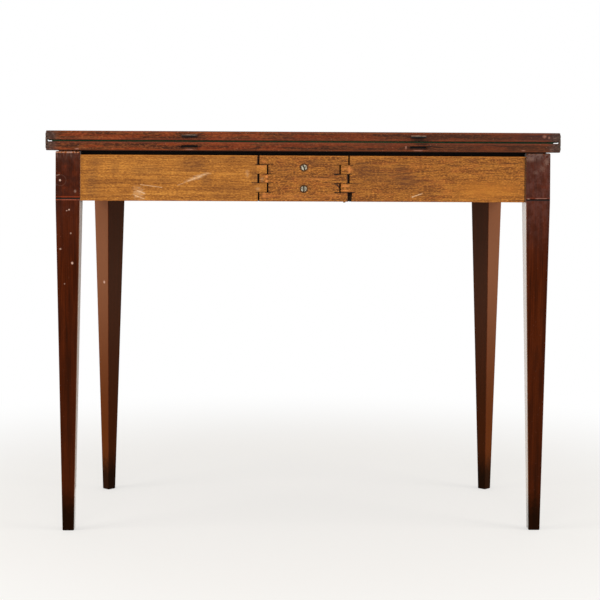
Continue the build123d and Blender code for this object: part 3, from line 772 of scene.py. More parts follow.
@dataclass(frozen=True)
class LegFinish:
    """Dark french polish on a tapered leg, worn at its arrises and black at its foot.

    A waxy haze lies on the gate legs, which shows only where a face is seen at a low angle.

    Args:
        name: the material's name.
        centre: the leg's middle line, in millimetres.
        foot_half: half the leg's width on the floor.
        side: the side of the table that the leg stands on.
        turned: whether the leg stands turned by 45 degrees, as the front legs do.
        marks: pale marks on the face towards the camera.
        bloom: how much purplish film and painted sheen lie on the polish of the upper part.
        worn: how far the polish is gone from the upper edge of a gate leg.
        line_lift: how much higher than the string its dark edges sit.
        edged: how bright the worn edge over the string's groove is.
        under_edged: how bright the one under it is.
        timber: the wood under the polish.
    """

    name: str
    centre: Pair
    foot_half: float
    side: Side
    turned: bool = False
    marks: tuple[Mark, ...] = ()
    bloom: float = 0.4
    worn: float = 0.0
    line_lift: float = 0.0
    edged: float = 0.9
    under_edged: float = 0.9
    timber: Timber = MAHOGANY_LEG

    def made(self) -> bpy.types.Material:
        """Builds the material.

        Returns:
            The material.
        """
        bench = Bench(self.name)
        place = x, y, z = bench.place()
        nx, ny, _ = bench.facing()
        away_x, away_y = x - self.centre[0], y - self.centre[1]
        if self.turned:
            root = math.sqrt(0.5)
            away_x, away_y = (away_x + away_y) * root, (away_y - away_x) * root
        wood, height = self.timber.figure(bench, away_x + self.centre[0], away_y, z)
        cloud = bench.noise(place, (18, 18, 70), 4, 0.6)
        wood = wood.stained(cloud.rise(0.46, 0.70) * 0.5, paint(40, 15, 6))
        wood = wood.stained(z.rise(560, 160) * 0.4, paint(52, 20, 4))
        mottle = bench.noise(place, (6, 6, 9), 4, 0.65)
        if self.turned:
            # painted light and shade on the back faces
            wood = self.lit(bench, wood, nx, ny, z)
            gloss = 0.01
        else:
            inward = nx * -self.side.value
            wood = self.aged(bench, wood, inward, mottle)
            gloss = self.strip(inward, z)
        level = z - (STRING_LEVEL + self.line_lift)
        streak = bench.noise(place, (9, 9, 3), 2)
        under = abs(level + 2).rise(0.9, 0.4) * (0.3 + streak.rise(0.32, 0.6) * 0.5)
        wood = wood.stained(under * self.under_edged, paint(190, 104, 78))
        over = abs(level - 3.4 + self.line_lift * 0.5).rise(1.3, 0.6) * streak.rise(0.3, 0.55)
        wood = wood.stained(over * self.edged * 0.6, paint(150, 62, 34))
        wood = wood.stained(abs(level).rise(1.5, 1) * 0.9, paint(20, 10, 6))
        to_arris = self.half_width(z) - abs(away_x).least(abs(away_y))
        rub = (to_arris + (mottle - 0.5) * 3).rise(1.6, 0.4)
        wood = wood.stained(rub * 0.25, paint(120, 62, 38))
        speck = bench.noise(place, (1.7, 1.7, 1.7), 1)
        wood = wood.stained(speck.rise(0.76, 0.80) * 0.4, paint(150, 104, 88))
        if self.marks:
            front = ny.rise(-0.3, -0.8)
            pale = shown(self.marks, x, z, speck - 0.5)
            wood = wood.stained(pale * front, paint(222, 184, 164))
        foot = (z + mottle * 50).rise(110, 50)
        wood = wood.stained(foot * 0.85, paint(14, 6, 0))
        dull = bench.noise(place, (30, 30, 120), 3)
        rough = 0.20 + dull.rise(0.45, 0.8) * 0.12 + rub * 0.15 + foot * 0.3
        return bench.finish(base_color=wood, roughness=rough, specular_ior_level=0.02,
                            coat_weight=gloss, coat_roughness=0.07,
                            sheen_weight=0 if self.turned else 1, sheen_roughness=0.22,
                            normal=bench.bump(height, 0.05, 0.3))

    def lit(self, bench: Bench, wood: Flow, nx: Flow, ny: Flow, z: Flow) -> Flow:
        """Painted light and shade on the two back faces of a turned leg: the outer one is
        painted lighter as if lit, the inner one darker.

        Args:
            bench: where the nodes are added.
            wood: the leg's colour so far.
            nx, ny: which way the surface faces.
            z: height over the floor.

        Returns:
            The colour.
        """
        back = ny.rise(0.2, -0.2)
        height = z.rise(120, 520)
        outward = (nx * self.side.value).rise(0.2, 0.6)
        inward = (nx * -self.side.value).rise(0.2, 0.6)
        # painted light on the outer face and painted shade on the inner one, lighter higher up
        pale = bench.mix(height, paint(98, 46, 10), paint(138, 88, 60))
        dark = bench.mix(height, paint(62, 27, 6), paint(76, 48, 34))
        return wood.stained(outward * back * 0.85, pale).stained(inward * back * 0.8, dark)

    def aged(self, bench: Bench, wood: Flow, inward: Flow, mottle: Flow) -> Flow:
        """The purplish film and painted sheen, the patches and the wear of a gate leg,
        with a painted reflection on its inner face and painted shade beside the rails.

        Args:
            bench: where the nodes are added.
            wood: the leg's colour so far.
            inward: how far the surface faces the middle of the table.
            mottle: fine noise about 0.5.

        Returns:
            The colour.
        """
        place = bench.place()
        z = place[2]
        # purplish film on the polish, with painted sheen on the upper part
        bloom = z.rise(460, 640) * (0.35 + mottle.rise(0.34, 0.66) * 0.65)
        wood = wood.stained(bloom * self.bloom, paint(98, 64, 58))
        patch = bench.noise(place, (13, 13, 13), 3, 0.6)
        head = z.rise(598, 604) * (1 - self.bloom)
        wood = wood.stained(head * patch.rise(0.44, 0.62) * 0.6, paint(46, 22, 16))
        wood = wood.stained(head * patch.rise(0.42, 0.30) * 0.45, paint(112, 46, 24))
        crown = z.rise(640, 668) * mottle.rise(0.3, 0.6)
        wood = wood.stained(crown * 0.5, paint(66, 42, 34))
        # painted highlight near the top
        gleam = z.rise(662, 678) * mottle.rise(0.36, 0.6)
        wood = wood.stained(gleam * self.bloom, paint(126, 104, 98))
        # painted reflection: the inner face below the frieze is painted pale
        wood = wood.stained(self.strip(inward, z) * 0.7, paint(180, 144, 108))
        # the upper edge under the leaf, bare of polish in places
        bare = bench.noise(place, (3.6, 3.6, 16), 3, 0.6)
        worn = z.rise(674.6, 676.6) * bare.rise(0.34, 0.48)
        drips = z.rise(660, 676) * bare.rise(0.52, 0.66) * 0.22
        raw = bench.mix(bare.rise(0.46, 0.58), paint(186, 104, 44), paint(204, 160, 142))
        wood = wood.stained(worn.most(drips) * self.worn, raw)
        # painted shade in the joint with the rails
        joint = inward.rise(0.3, 0.7) * z.rise(FRIEZE_FOOT - 1, FRIEZE_FOOT + 1)
        return wood.stained(joint * 0.85, paint(24, 11, 7))

    def strip(self, inward: Flow, z: Flow) -> Flow:
        """1 on the inner face below the frieze, which is painted pale there as a reflection, and
        0 elsewhere.
        """
        return inward.rise(0.5, 0.9) * z.rise(FRIEZE_FOOT + 3, FRIEZE_FOOT - 1)

    def half_width(self, z: Flow) -> Flow:
        """Half the leg's width at a height: straight beside the frieze, tapered below."""
        grow = (z / FRIEZE_FOOT).least(1)
        return self.foot_half + grow * (LEG_TOP_HALF - self.foot_half)


@dataclass(frozen=True)
class RailFinish:
    """Bare secondary wood, darkened by hands and age, with smudges and scratches,
    and painted shade in the knuckle gaps and above the rails.

    Args:
        name: the material's name.
        timber: the wood itself.
        smudges: brown marks on the face towards the camera.
        pale: light marks and scratches there.
        dark: near-black marks there: dirt, scratches and saw cuts, with painted shade along the
            knuckle gaps and the joint with the leg.
        clean: patches there with little grain and dirt.
        bright: orange marks there: rubbed wood, and painted highlights on the rounded knuckle
            ends.
        age: how brown the whole has gone, from 0 to 1.
        dusky_from: height above which the wood is painted near black as shade.
    """

    name: str
    timber: Timber
    smudges: tuple[Mark, ...] = ()
    pale: tuple[Mark, ...] = ()
    dark: tuple[Mark, ...] = ()
    clean: tuple[Mark, ...] = ()
    bright: tuple[Mark, ...] = ()
    age: float = 0.0
    dusky_from: float = 700.0

    def made(self) -> bpy.types.Material:
        """Builds the material.

        Returns:
            The material.
        """
        bench = Bench(self.name)
        place = x, y, z = bench.place()
        nx, ny, nz = bench.facing()
        wood, height = self.timber.figure(bench, x, y, z)
        fibres = along, wide, deep = self.timber.axes(x, y, z)
        bend = (bench.noise(fibres, (150, 60, 60), 2) - 0.5) * 9
        line = bench.noise((along, wide + bend, deep + bend), (24, 1.9, 1.9), 4, 0.6)
        wood = wood.stained(line.rise(0.52, 0.66) * 0.5, paint(118, 66, 22))
        wood = wood.stained(line.rise(0.47, 0.35) * 0.35, paint(208, 142, 64))
        fleck = bench.noise(fibres, (4.2, 1.6, 1.6), 3, 0.65)
        wood = wood.stained(fleck.rise(0.50, 0.62) * 0.6, paint(110, 60, 18))
        wood = wood.stained(fleck.rise(0.46, 0.37) * 0.5, paint(216, 146, 62))
        cloud = bench.noise(place, (34, 30, 20), 4, 0.6)
        wood = wood.stained(cloud.rise(0.50, 0.72) * 0.35, paint(124, 72, 28))
        wood = wood.stained(cloud.rise(0.46, 0.30) * 0.3, paint(204, 134, 52))
        warm = bench.noise((x + 234, y, z), (26, 26, 9), 3, 0.6)
        wood = wood.stained(warm.rise(0.50, 0.64) * self.age, paint(160, 76, 34))
        wood = wood.stained(self.age, paint(92, 46, 8))
        wood = wood.stained(line.rise(0.50, 0.60) * self.age * 2.1, paint(78, 38, 12))
        wood = wood.stained(fleck.rise(0.48, 0.38) * self.age * 2.1, paint(200, 124, 50))
        wobble = bench.noise(fibres, (9, 2.2, 2.2), 3, 0.7) - 0.5
        front = ny.rise(-0.4, -0.8)
        for marks, breaking, share, tint in (
                (self.clean, 1.0, 1.0, paint(182, 112, 36)),
                (self.smudges, 1.0, 0.6 + line.rise(0.4, 0.6) * 0.6, paint(92, 52, 26)),
                (self.pale, 1.6, 0.2 + fleck.rise(0.36, 0.56), paint(220, 180, 138)),
                # bright: rubbed wood, and painted highlights on the knuckle ends
                (self.bright, 0.8, 1.0, paint(216, 132, 66)),
                # dark: dirt and saw cuts, and painted shade along the gaps and the joint with
                # the leg
                (self.dark, 0.4, 1.0, paint(38, 20, 10))):
            wood = wood.stained(shown(marks, x, z, wobble * breaking) * front * share, tint)
        edge = abs(z - FRIEZE_FOOT).rise(1.8, 0.4)
        wood = wood.stained(edge * 0.35, paint(120, 62, 28))
        # painted highlight along the rail's top edge
        rail_top_highlight = abs(z - RAIL_TOP).rise(2.4, 0.8)
        wood = wood.stained(rail_top_highlight * 0.35, paint(206, 126, 46))
        # painted shade in the sawn gaps of the wooden hinges, above the rails and on their tops
        gap = ny.rise(0.2, -0.2).most(abs(nx).rise(0.4, 0.8))
        gap_shade = (abs(x) - KNUCKLE_REACH).rise(3, -3) * gap * (y - RAIL_FACE).rise(0.4, 2.4)
        shade_above = z.rise(self.dusky_from, self.dusky_from + 3).most(nz.rise(0.5, 0.9) * 0.7)
        wood = wood.stained(shade_above.most(gap_shade * 0.92), paint(16, 9, 5))
        rough = 0.50 + cloud * 0.16
        return bench.finish(base_color=wood, roughness=rough, specular_ior_level=0.16,
                            normal=bench.bump(height, 0.15, 0.6))


@dataclass(frozen=True)
class ClothFinish:
    """Green baize: short matted wool, worn thin in places."""

    name: str = "green_baize"

    def made(self) -> bpy.types.Material:
        """Builds the material.

        Returns:
            The material.
        """
        bench = Bench(self.name)
        place = x, y, z = bench.place()
        nap = bench.noise(place, (0.7, 0.7, 0.7), 3, 0.7)
        patch = bench.noise(place, (90, 90, 90), 4, 0.6)
        lint = bench.noise(place, (3, 1.1, 1.1), 2, 0.7, 1.5)
        faded = bench.noise((x + 780, y, z), (260, 200, 200), 5, 0.65)
        cloth = bench.ramp(nap, (0.25, paint(12, 38, 26)), (0.75, paint(28, 68, 46)))
        cloth = cloth.stained(patch.rise(0.45, 0.75) * 0.4, paint(44, 68, 40))
        cloth = cloth.stained(faded.rise(0.46, 0.66) * 0.45, paint(62, 84, 50))
        cloth = cloth.stained(lint.rise(0.68, 0.74) * 0.2, paint(110, 124, 98))
        return bench.finish(base_color=cloth, roughness=0.95, sheen_weight=0.1,
                            sheen_roughness=0.5, specular_ior_level=0.2,
                            normal=bench.bump(nap, 0.35, 0.8))


@dataclass(frozen=True)
class MetalFinish:
    """Old metal under brown patina, rubbed bright where hands reach.

    Args:
        name: the material's name.
        bright, patina, deep: its tints where it is bare, tarnished and dirty.
        bare: how much of it is rubbed bare, from 0 to 1.
        rough: how rough the tarnished metal is.
        cloudy: how long the clouds of tarnish are, in millimetres.
        face_x, face_y: where a screw head's face lies; the slot behind it is painted black as
            shade.
    """

    name: str
    bright: Colour
    patina: Colour
    deep: Colour
    bare: float = 0.3
    rough: float = 0.42
    cloudy: float = 3.0
    face_x: float | None = None
    face_y: float | None = None

    def made(self) -> bpy.types.Material:
        """Builds the material.

        Returns:
            The material.
        """
        bench = Bench(self.name)
        place = x, y, _ = bench.place()
        cloud = bench.noise(place, (self.cloudy, self.cloudy, self.cloudy), 4, 0.55)
        fine = bench.noise(place, (0.8, 0.8, 0.8), 3)
        old = bench.ramp(cloud, (0.3, self.deep), (0.62, self.patina))
        rubbed = (cloud + (fine - 0.5) * 0.4).rise(0.80 - self.bare, 1.02 - self.bare)
        tone = bench.mix(rubbed, old, self.bright)
        # painted shade: black in the slot behind the head's face
        if self.face_y is not None:
            tone = tone.stained((y - self.face_y).rise(0.1, 0.5), paint(14, 10, 8))
        if self.face_x is not None:
            tone = tone.stained((self.face_x - abs(x)).rise(0.1, 0.4), paint(20, 14, 10))
        return bench.finish(base_color=tone, metallic=0.2 + rubbed * 0.6,
                            roughness=self.rough + fine * 0.2 - rubbed * 0.1,
                            specular_ior_level=0.3,
                            normal=bench.bump(cloud + fine * 0.4, 0.12, 0.5))


@dataclass(frozen=True)
class StringFinish:
    """Thin inlaid line of black-stained wood."""

    name: str = "ebony_string"

    def made(self) -> bpy.types.Material:
        """Builds the material.

        Returns:
            The material.
        """
        bench = Bench(self.name)
        place = bench.place()
        grain = bench.noise(place, (6, 6, 0.5), 3)
        black = bench.ramp(grain, (0.3, paint(10, 7, 6)), (0.8, paint(32, 20, 16)))
        return bench.finish(base_color=black, roughness=0.34 + grain * 0.15,
                            specular_ior_level=0.15, normal=bench.bump(grain, 0.04, 0.4))


@dataclass(frozen=True)
class TongueFinish:
    """The tongues' bare wood, pale where it has rubbed, and painted black below as shade.

    Args:
        name: the material's name.
        middle: height of the tongues' middle, under which they are painted black as shade.
        rubbed_half: how far from its middle a tongue has rubbed pale.
    """

    name: str = "tongue_wood"
    middle: float = TONGUE_LEVEL
    rubbed_half: float = 12.2

    def made(self) -> bpy.types.Material:
        """Builds the material.

        Returns:
            The material.
        """
        bench = Bench(self.name)
        place = x, y, z = bench.place()
        wood, height = MAHOGANY_TOP.figure(bench, x, y, z)
        grit = bench.noise(place, (6, 3, 1.2), 3, 0.65)
        # painted shade: black on the lower half
        upper = (z + (grit - 0.5) * 2.4).rise(self.middle + 0.2, self.middle + 1.2)
        wood = bench.mix(upper * 0.95, paint(12, 6, 4), bench.mix(
            grit.rise(0.35, 0.65), paint(172, 146, 124), wood))
        ends = abs(abs(x) - TONGUE_X).rise(self.rubbed_half, self.rubbed_half + 1.2)
        wood = wood.stained(ends * 0.85, paint(58, 30, 20))
        return bench.finish(base_color=wood, roughness=0.5 + grit * 0.1,
                            specular_ior_level=0.2, normal=bench.bump(height, 0.1, 0.4))


def set_up(name: str, data: bpy.types.ID) -> bpy.types.Object:
    """Adds an object to the scene.

    Args:
        name: its name.
        data: the mesh, lamp or camera that it holds.

    Returns:
        The object.
    """
    made = bpy.data.objects.new(name, data)
    bpy.context.scene.collection.objects.link(made)
    return made


@dataclass(frozen=True)
class SlottedScrew:
    """A countersunk wood screw that is set at every point of a mesh, in millimetres.

    Args:
        name: the name of the object that holds the screws.
        head, shank: the diameters of head and shank.
        length: the whole length.
        slot_width, slot_depth: how wide and deep the slot is.
    """

    name: str
    head: float
    shank: float
    length: float
    slot_width: float
    slot_depth: float

    def sizes(self) -> dict[str, float]:
        """The named inputs of the tree.

        Returns:
            The size of each in metres, by its name.
        """
        cone = (self.head - self.shank) / 2
        return {"Head Radius": self.head / 2 * MM, "Shank Radius": self.shank / 2 * MM,
                "Point Radius": self.shank / 5 * MM, "Head Height": cone * MM,
                "Shank Length": (self.length - cone) * MM, "Slot Width": self.slot_width * MM,
                "Slot Length": self.head * 1.5 * MM, "Slot Height": self.slot_depth * 2 * MM}

    def tree(self) -> bpy.types.NodeTree:
        """Builds the tree that turns points into slotted screws.

        Returns:
            The tree.
        """
        tree = bpy.data.node_groups.new(f"{self.name}_tree", "GeometryNodeTree")
        tree.interface.new_socket("Places", in_out="INPUT", socket_type="NodeSocketGeometry")
        for label in self.sizes():
            tree.interface.new_socket(label, in_out="INPUT", socket_type="NodeSocketFloat")
        tree.interface.new_socket("Finish", in_out="INPUT", socket_type="NodeSocketMaterial")
        tree.interface.new_socket("Screws", in_out="OUTPUT", socket_type="NodeSocketGeometry")
        given = set_node(tree, "NodeGroupInput").outputs

        def lowered(mesh: bpy.types.Node, *drops: bpy.types.NodeSocket) -> bpy.types.NodeSocket:
            """A mesh let down by one or more heights.

            Args:
                mesh: the node that makes it.
                drops: the heights.

            Returns:
                The lowered mesh.
            """
            for drop in drops:
                down = set_node(tree, "ShaderNodeMath", {"operation": "MULTIPLY"},
                                {0: drop, 1: -1.0})
                offset = set_node(tree, "ShaderNodeCombineXYZ", {}, {2: down.outputs[0]})
                mesh = set_node(tree, "GeometryNodeTransform", {}, {
                    "Geometry": mesh.outputs[0], "Translation": offset.outputs[0]})
            return mesh.outputs[0]

        cone = set_node(tree, "GeometryNodeMeshCone", {}, {
            "Vertices": 48, "Radius Top": given["Head Radius"],
            "Radius Bottom": given["Shank Radius"], "Depth": given["Head Height"]})
        shank = set_node(tree, "GeometryNodeMeshCone", {}, {
            "Vertices": 24, "Radius Top": given["Shank Radius"],
            "Radius Bottom": given["Point Radius"], "Depth": given["Shank Length"]})
        size = set_node(tree, "ShaderNodeCombineXYZ", {}, {
            0: given["Slot Width"], 1: given["Slot Length"], 2: given["Slot Height"]})
        bar = set_node(tree, "GeometryNodeMeshCube", {}, {"Size": size.outputs[0]})
        slotted = set_node(tree, "GeometryNodeMeshBoolean", {"operation": "DIFFERENCE"}, {
            0: lowered(cone, given["Head Height"]), 1: bar.outputs[0]})
        whole = set_node(tree, "GeometryNodeJoinGeometry", {}, {0: [
            slotted.outputs[0], lowered(shank, given["Head Height"], given["Shank Length"])]})
        turn = set_node(tree, "GeometryNodeInputNamedAttribute",
                        {"data_type": "FLOAT_VECTOR"}, {"Name": "turn"})
        placed = set_node(tree, "GeometryNodeInstanceOnPoints", {}, {
            "Points": given["Places"], "Instance": whole.outputs[0],
            "Rotation": turn.outputs[0]})
        real = set_node(tree, "GeometryNodeRealizeInstances", {}, {0: placed.outputs[0]})
        done = set_node(tree, "GeometryNodeSetMaterial", {}, {
            "Geometry": real.outputs[0], "Material": given["Finish"]})
        set_node(tree, "NodeGroupOutput", {}, {0: done.outputs[0]})
        return tree

    def drive(self, material: bpy.types.Material,
              places: list[tuple[Vector, Vector, float]]) -> bpy.types.Object:
        """Sets a screw at each place.

        Args:
            material: the screws' finish.
            places: middle of each head's face, the way that it looks and its slot's lean.

        Returns:
            One object with all the screws as plain mesh.
        """
        mesh = bpy.data.meshes.new(self.name)
        mesh.from_pydata([tuple(point * MM) for point, _, _ in places], [], [])
        turns = mesh.attributes.new("turn", "FLOAT_VECTOR", "POINT")
        for entry, (_, out, lean) in zip(turns.data, places):
            side = Vector((0.0, 0.0, 1.0)).cross(out).normalized()
            frame = Matrix((side, out.cross(side), out)).transposed()
            turned = frame @ Matrix.Rotation(math.radians(lean), 3, "Z")
            entry.vector = tuple(turned.to_euler())
        screws = set_up(self.name, mesh)
        modifier = screws.modifiers.new("screws", "NODES")
        modifier.node_group = self.tree()
        values = {**self.sizes(), "Finish": material}
        for item in modifier.node_group.interface.items_tree:
            if item.name in values:
                modifier[item.identifier] = values[item.name]
        ready = screws.evaluated_get(bpy.context.evaluated_depsgraph_get())
        made = bpy.data.meshes.new_from_object(ready)
        screws.modifiers.clear()
        screws.data = made
        return screws


def dress(material: bpy.types.Material, *names: str) -> list[str]:
    """Gives CAD nodes a finish.

    Args:
        material: the finish.
        names: the nodes that wear it.

    Returns:
        Those names.
    """
    for name in names:
        mesh = FRAME["nodes"][name].data
        if not mesh.materials:
            mesh.materials.append(material)
        for index in range(len(mesh.materials)):
            mesh.materials[index] = material
    return list(names)


def stand_in(piece: bpy.types.Object, body: str, slot: str, *nodes: str) -> list[str]:
    """Lets a detailed piece show instead of CAD nodes.

    Args:
        piece: the detailed piece.
        body: the body that it moves with.
        slot: not used.
        nodes: the nodes that it stands for.

    Returns:
        Those nodes.
    """
    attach(piece, body)
    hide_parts(*nodes)
    return list(nodes)


@dataclass
class Leaves:
    """The fixed lower leaf, the folding upper leaf, their baizes and the tongues.

    Args:
        stretch_from: how far from the middle the baizes start to be pulled out.
        lower_ends: where the left and right edges of the lower baize come to lie.
        upper_ends: where those of the upper baize do.
    """

    stretch_from: float = 380.0
    lower_ends: Pair = (-446.0, 444.5)
    upper_ends: Pair = (-452.0, 452.5)

    def stretched(self, node: str, ends: Pair, cloth: bpy.types.Material) -> bpy.types.Object:
        """Makes a baize that is pulled out a little towards the hinges.

        Args:
            node: the CAD node that it is made from.
            ends: where its left and right edges lie, in millimetres.
            cloth: its material.

        Returns:
            The baize, ready to ride on its leaf.
        """
        plain = FRAME["nodes"][node]
        flat = plain.data.copy()
        flat.name = f"{node}_stretched"
        flat.transform(plain.matrix_world)
        start = self.stretch_from * MM
        last = max(vertex.co.x for vertex in flat.vertices)
        for vertex in flat.vertices:
            share = max(0.0, (abs(vertex.co.x) - start) / (last - start))
            vertex.co.x += share * (ends[1] * MM - last if vertex.co.x > 0.0
                                    else ends[0] * MM + last)
        flat.materials.clear()
        flat.materials.append(cloth)
        return set_up(flat.name, flat)

    def build(self) -> list[str]:
        """Dresses the two leaves and what is fixed to them.

        Returns:
            The nodes that it has dressed.
        """
        middles = (-TONGUE_X, TONGUE_X)
        chips = (Blot(-401.5, 682.8, 4.6, 1.6, 0.8, ragged=1.4),
                 Blot(428, 708.5, 4, 3.2, 0.6, ragged=1.6),
                 Blot(436, 706.5, 2.4, 2.6, 0.5), Blot(390, 683.4, 4, 1.4, 0.6),
                 Blot(181, 688, 1.6, 3.6, 0.9))
        lips = tuple(Blot(x, MORTISE_LEVEL - 4.4, 11, 2, 0.55, ragged=1.8) for x in middles)
        # painted shade inside the mortises, at their ends and under the tongues
        mortise_shade_blots = tuple(Blot(x, MORTISE_LEVEL, 15.5, 3.6, 0.97) for x in middles)
        mortise_end_shade = tuple(Blot(x + way * 17.5, MORTISE_LEVEL, 5, 2.2, 0.75)
                      for x in middles for way in (-1, 1))
        shade = tuple(Blot(x, TONGUE_LEVEL - 2.9, 14.5, 1.3, 0.85) for x in middles)
        rubbed = (Blot(207, 700.6, 25, 2.6, 0.85, ragged=1.6),
                  Blot(210, 693.8, 17, 2.2, 0.75, ragged=1.6),
                  Scratch((218, 689.8), (246, 688.6), 1.6, 0.9))
        lower = LeafFinish("lower_leaf_mahogany", LOWER_LEAF_TOP, LOWER_LEAF_BOTTOM,
                           polished=False, grimy=2.8, worn=lips + chips,
                           dark=mortise_end_shade + mortise_shade_blots + rubbed, hollow_level=MORTISE_LEVEL)
        upper = LeafFinish("upper_leaf_mahogany", UPPER_LEAF_BOTTOM, TABLE_TOP,
                           polished=True, worn=chips, dark=shade + rubbed)
        cloth = ClothFinish().made()
        return (dress(lower.made(), "lower_leaf") + dress(upper.made(), "upper_leaf")
                + dress(TongueFinish().made(), "leaf_tongues")
                + stand_in(self.stretched("lower_baize", self.lower_ends, cloth),
                           "frame", "baize", "lower_baize")
                + stand_in(self.stretched("upper_baize", self.upper_ends, cloth),
                           "upper_leaf", "baize", "upper_baize"))


@dataclass
class LinkHinges:
    """The link hinges at both ends of the top, with three screws in every plate.

    Args:
        screw: the screws of the plates.
        first_y, plate_length: where a plate starts, and how long it is.
        screw_shares: where its screws sit, as shares of its length.
        screw_inset: how far from the leaf's inner face they sit.
        brass, steel: the finishes of hinges and screws.
    """

    screw: SlottedScrew = SlottedScrew("plate_screw", 6.7, 2.9, 19.0, 1.0, 0.8)
    first_y: float = -224.5
    plate_length: float = 74.0
    screw_shares: tuple[float, ...] = (0.3, 0.58, 0.86)
    screw_inset: float = 6.0
    brass: MetalFinish = MetalFinish("aged_brass", paint(120, 92, 66), paint(80, 56, 42),
                                     paint(50, 32, 25), bare=0.16, cloudy=7.0)
    steel: MetalFinish = MetalFinish("plate_screw_steel", paint(158, 150, 136),
                                     paint(118, 108, 94), paint(80, 68, 56), bare=0.4,
                                     face_x=PLATE_FACE)

    def places(self, level: float) -> list[tuple[Vector, Vector, float]]:
        """Where the screws of the plates at one height sit.

        Args:
            level: their height over the floor.

        Returns:
            Middle of each head's face, its way out and its slot's lean.
        """
        return [(Vector((side.value * PLATE_FACE,
                         self.first_y + share * self.plate_length, level)),
                 Vector((float(side.value), 0.0, 0.0)), 35.0 * index - 20.0)
                for side in Side for index, share in enumerate(self.screw_shares)]

    def build(self) -> list[str]:
        """Dresses plates, links and pins, and drives the screws.

        Returns:
            The nodes that it has dressed.
        """
        names = dress(self.brass.made(), *(
            f"{side.word}_{part}" for side in Side
            for part in ("lower_hinge_plate", "upper_hinge_plate", "hinge_link", "link_pins")))
        steel = self.steel.made()
        for node, level, body in (
                ("lower_plate_screws", LOWER_LEAF_TOP - self.screw_inset, "frame"),
                ("upper_plate_screws", UPPER_LEAF_BOTTOM + self.screw_inset, "upper_leaf")):
            screws = self.screw.drive(steel, self.places(level))
            screws.name = f"{node}_slotted"
            names += stand_in(screws, body, "screw_steel", node)
        return names


@dataclass
class GateLegs:
    """The two legs that swing out, each with its inlaid line."""

    left: LegFinish = LegFinish(
        "left_gate_leg_polish", (-GATE_LEG_X, GATE_LEG_Y), GATE_FOOT_HALF, Side.LEFT,
        bloom=0.15, worn=0.9, marks=(
            Blot(-432, 627, 2, 2, 0.95), Ring(-431, 627, 9.6, 1, 0.04),
            Scratch((-438.5, 635.5), (-433, 637), 0.8, 0.4), Blot(-405.3, 607.7, 2.6, 3.2, 0.22),
            Blot(-416, 574.8, 1.7, 1.7, 0.8), Blot(-420, 573.2, 1.8, 1.2, 0.5),
            Blot(-413.1, 533, 1.6, 1.8, 0.5), Blot(-431.6, 505, 2.2, 1.8, 0.55),
            Blot(-410.5, 480, 2.2, 2.6, 0.85), Blot(-424, 443, 1.4, 1.4, 0.4)))
    right: LegFinish = LegFinish(
        "right_gate_leg_polish", (GATE_LEG_X, GATE_LEG_Y), GATE_FOOT_HALF, Side.RIGHT,
        bloom=0.6, worn=0.15, line_lift=1.5, edged=0.5, under_edged=0.08, marks=(
            Blot(414, 644, 6, 4, 0.06, ragged=1.8),
            Blot(426, 652, 6, 7, 0.08, ragged=2),
            Blot(433, 663, 5, 7, 0.14, ragged=2),
            Blot(404, 668, 9, 5, 0.12, ragged=1.8), Blot(401, 597.5, 3.4, 0.9, 0.4),
            Scratch((414, 597.8), (434, 598.3), 0.7, 0.25)))

    def build(self) -> list[str]:
        """Dresses both legs and their lines.

        Returns:
            The nodes that it has dressed.
        """
        return (dress(self.left.made(), "left_gate_leg")
                + dress(self.right.made(), "right_gate_leg")
                + dress(StringFinish().made(), "left_gate_leg_string",
                        "right_gate_leg_string"))


@dataclass
class FrontLegs:
    """The two fixed legs that stand turned by 45 degrees, each with its inlaid line."""

    left_marks: tuple[Mark, ...] = (Blot(-388, 418, 2.2, 3.2, 0.9),)

    def build(self) -> list[str]:
        """Dresses both legs and their lines.

        Returns:
            The nodes that it has dressed.
        """
        names: list[str] = []
        for side, marks in ((Side.LEFT, self.left_marks), (Side.RIGHT, ())):
            finish = LegFinish(f"{side.word}_front_leg_polish",
                               (side.value * FRONT_LEG_X, FRONT_LEG_Y), FRONT_FOOT_HALF,
                               side, turned=True, marks=marks)
            names += dress(finish.made(), f"{side.word}_front_leg")
        return names + dress(StringFinish("front_leg_string").made(),
                             "left_front_leg_string", "right_front_leg_string")


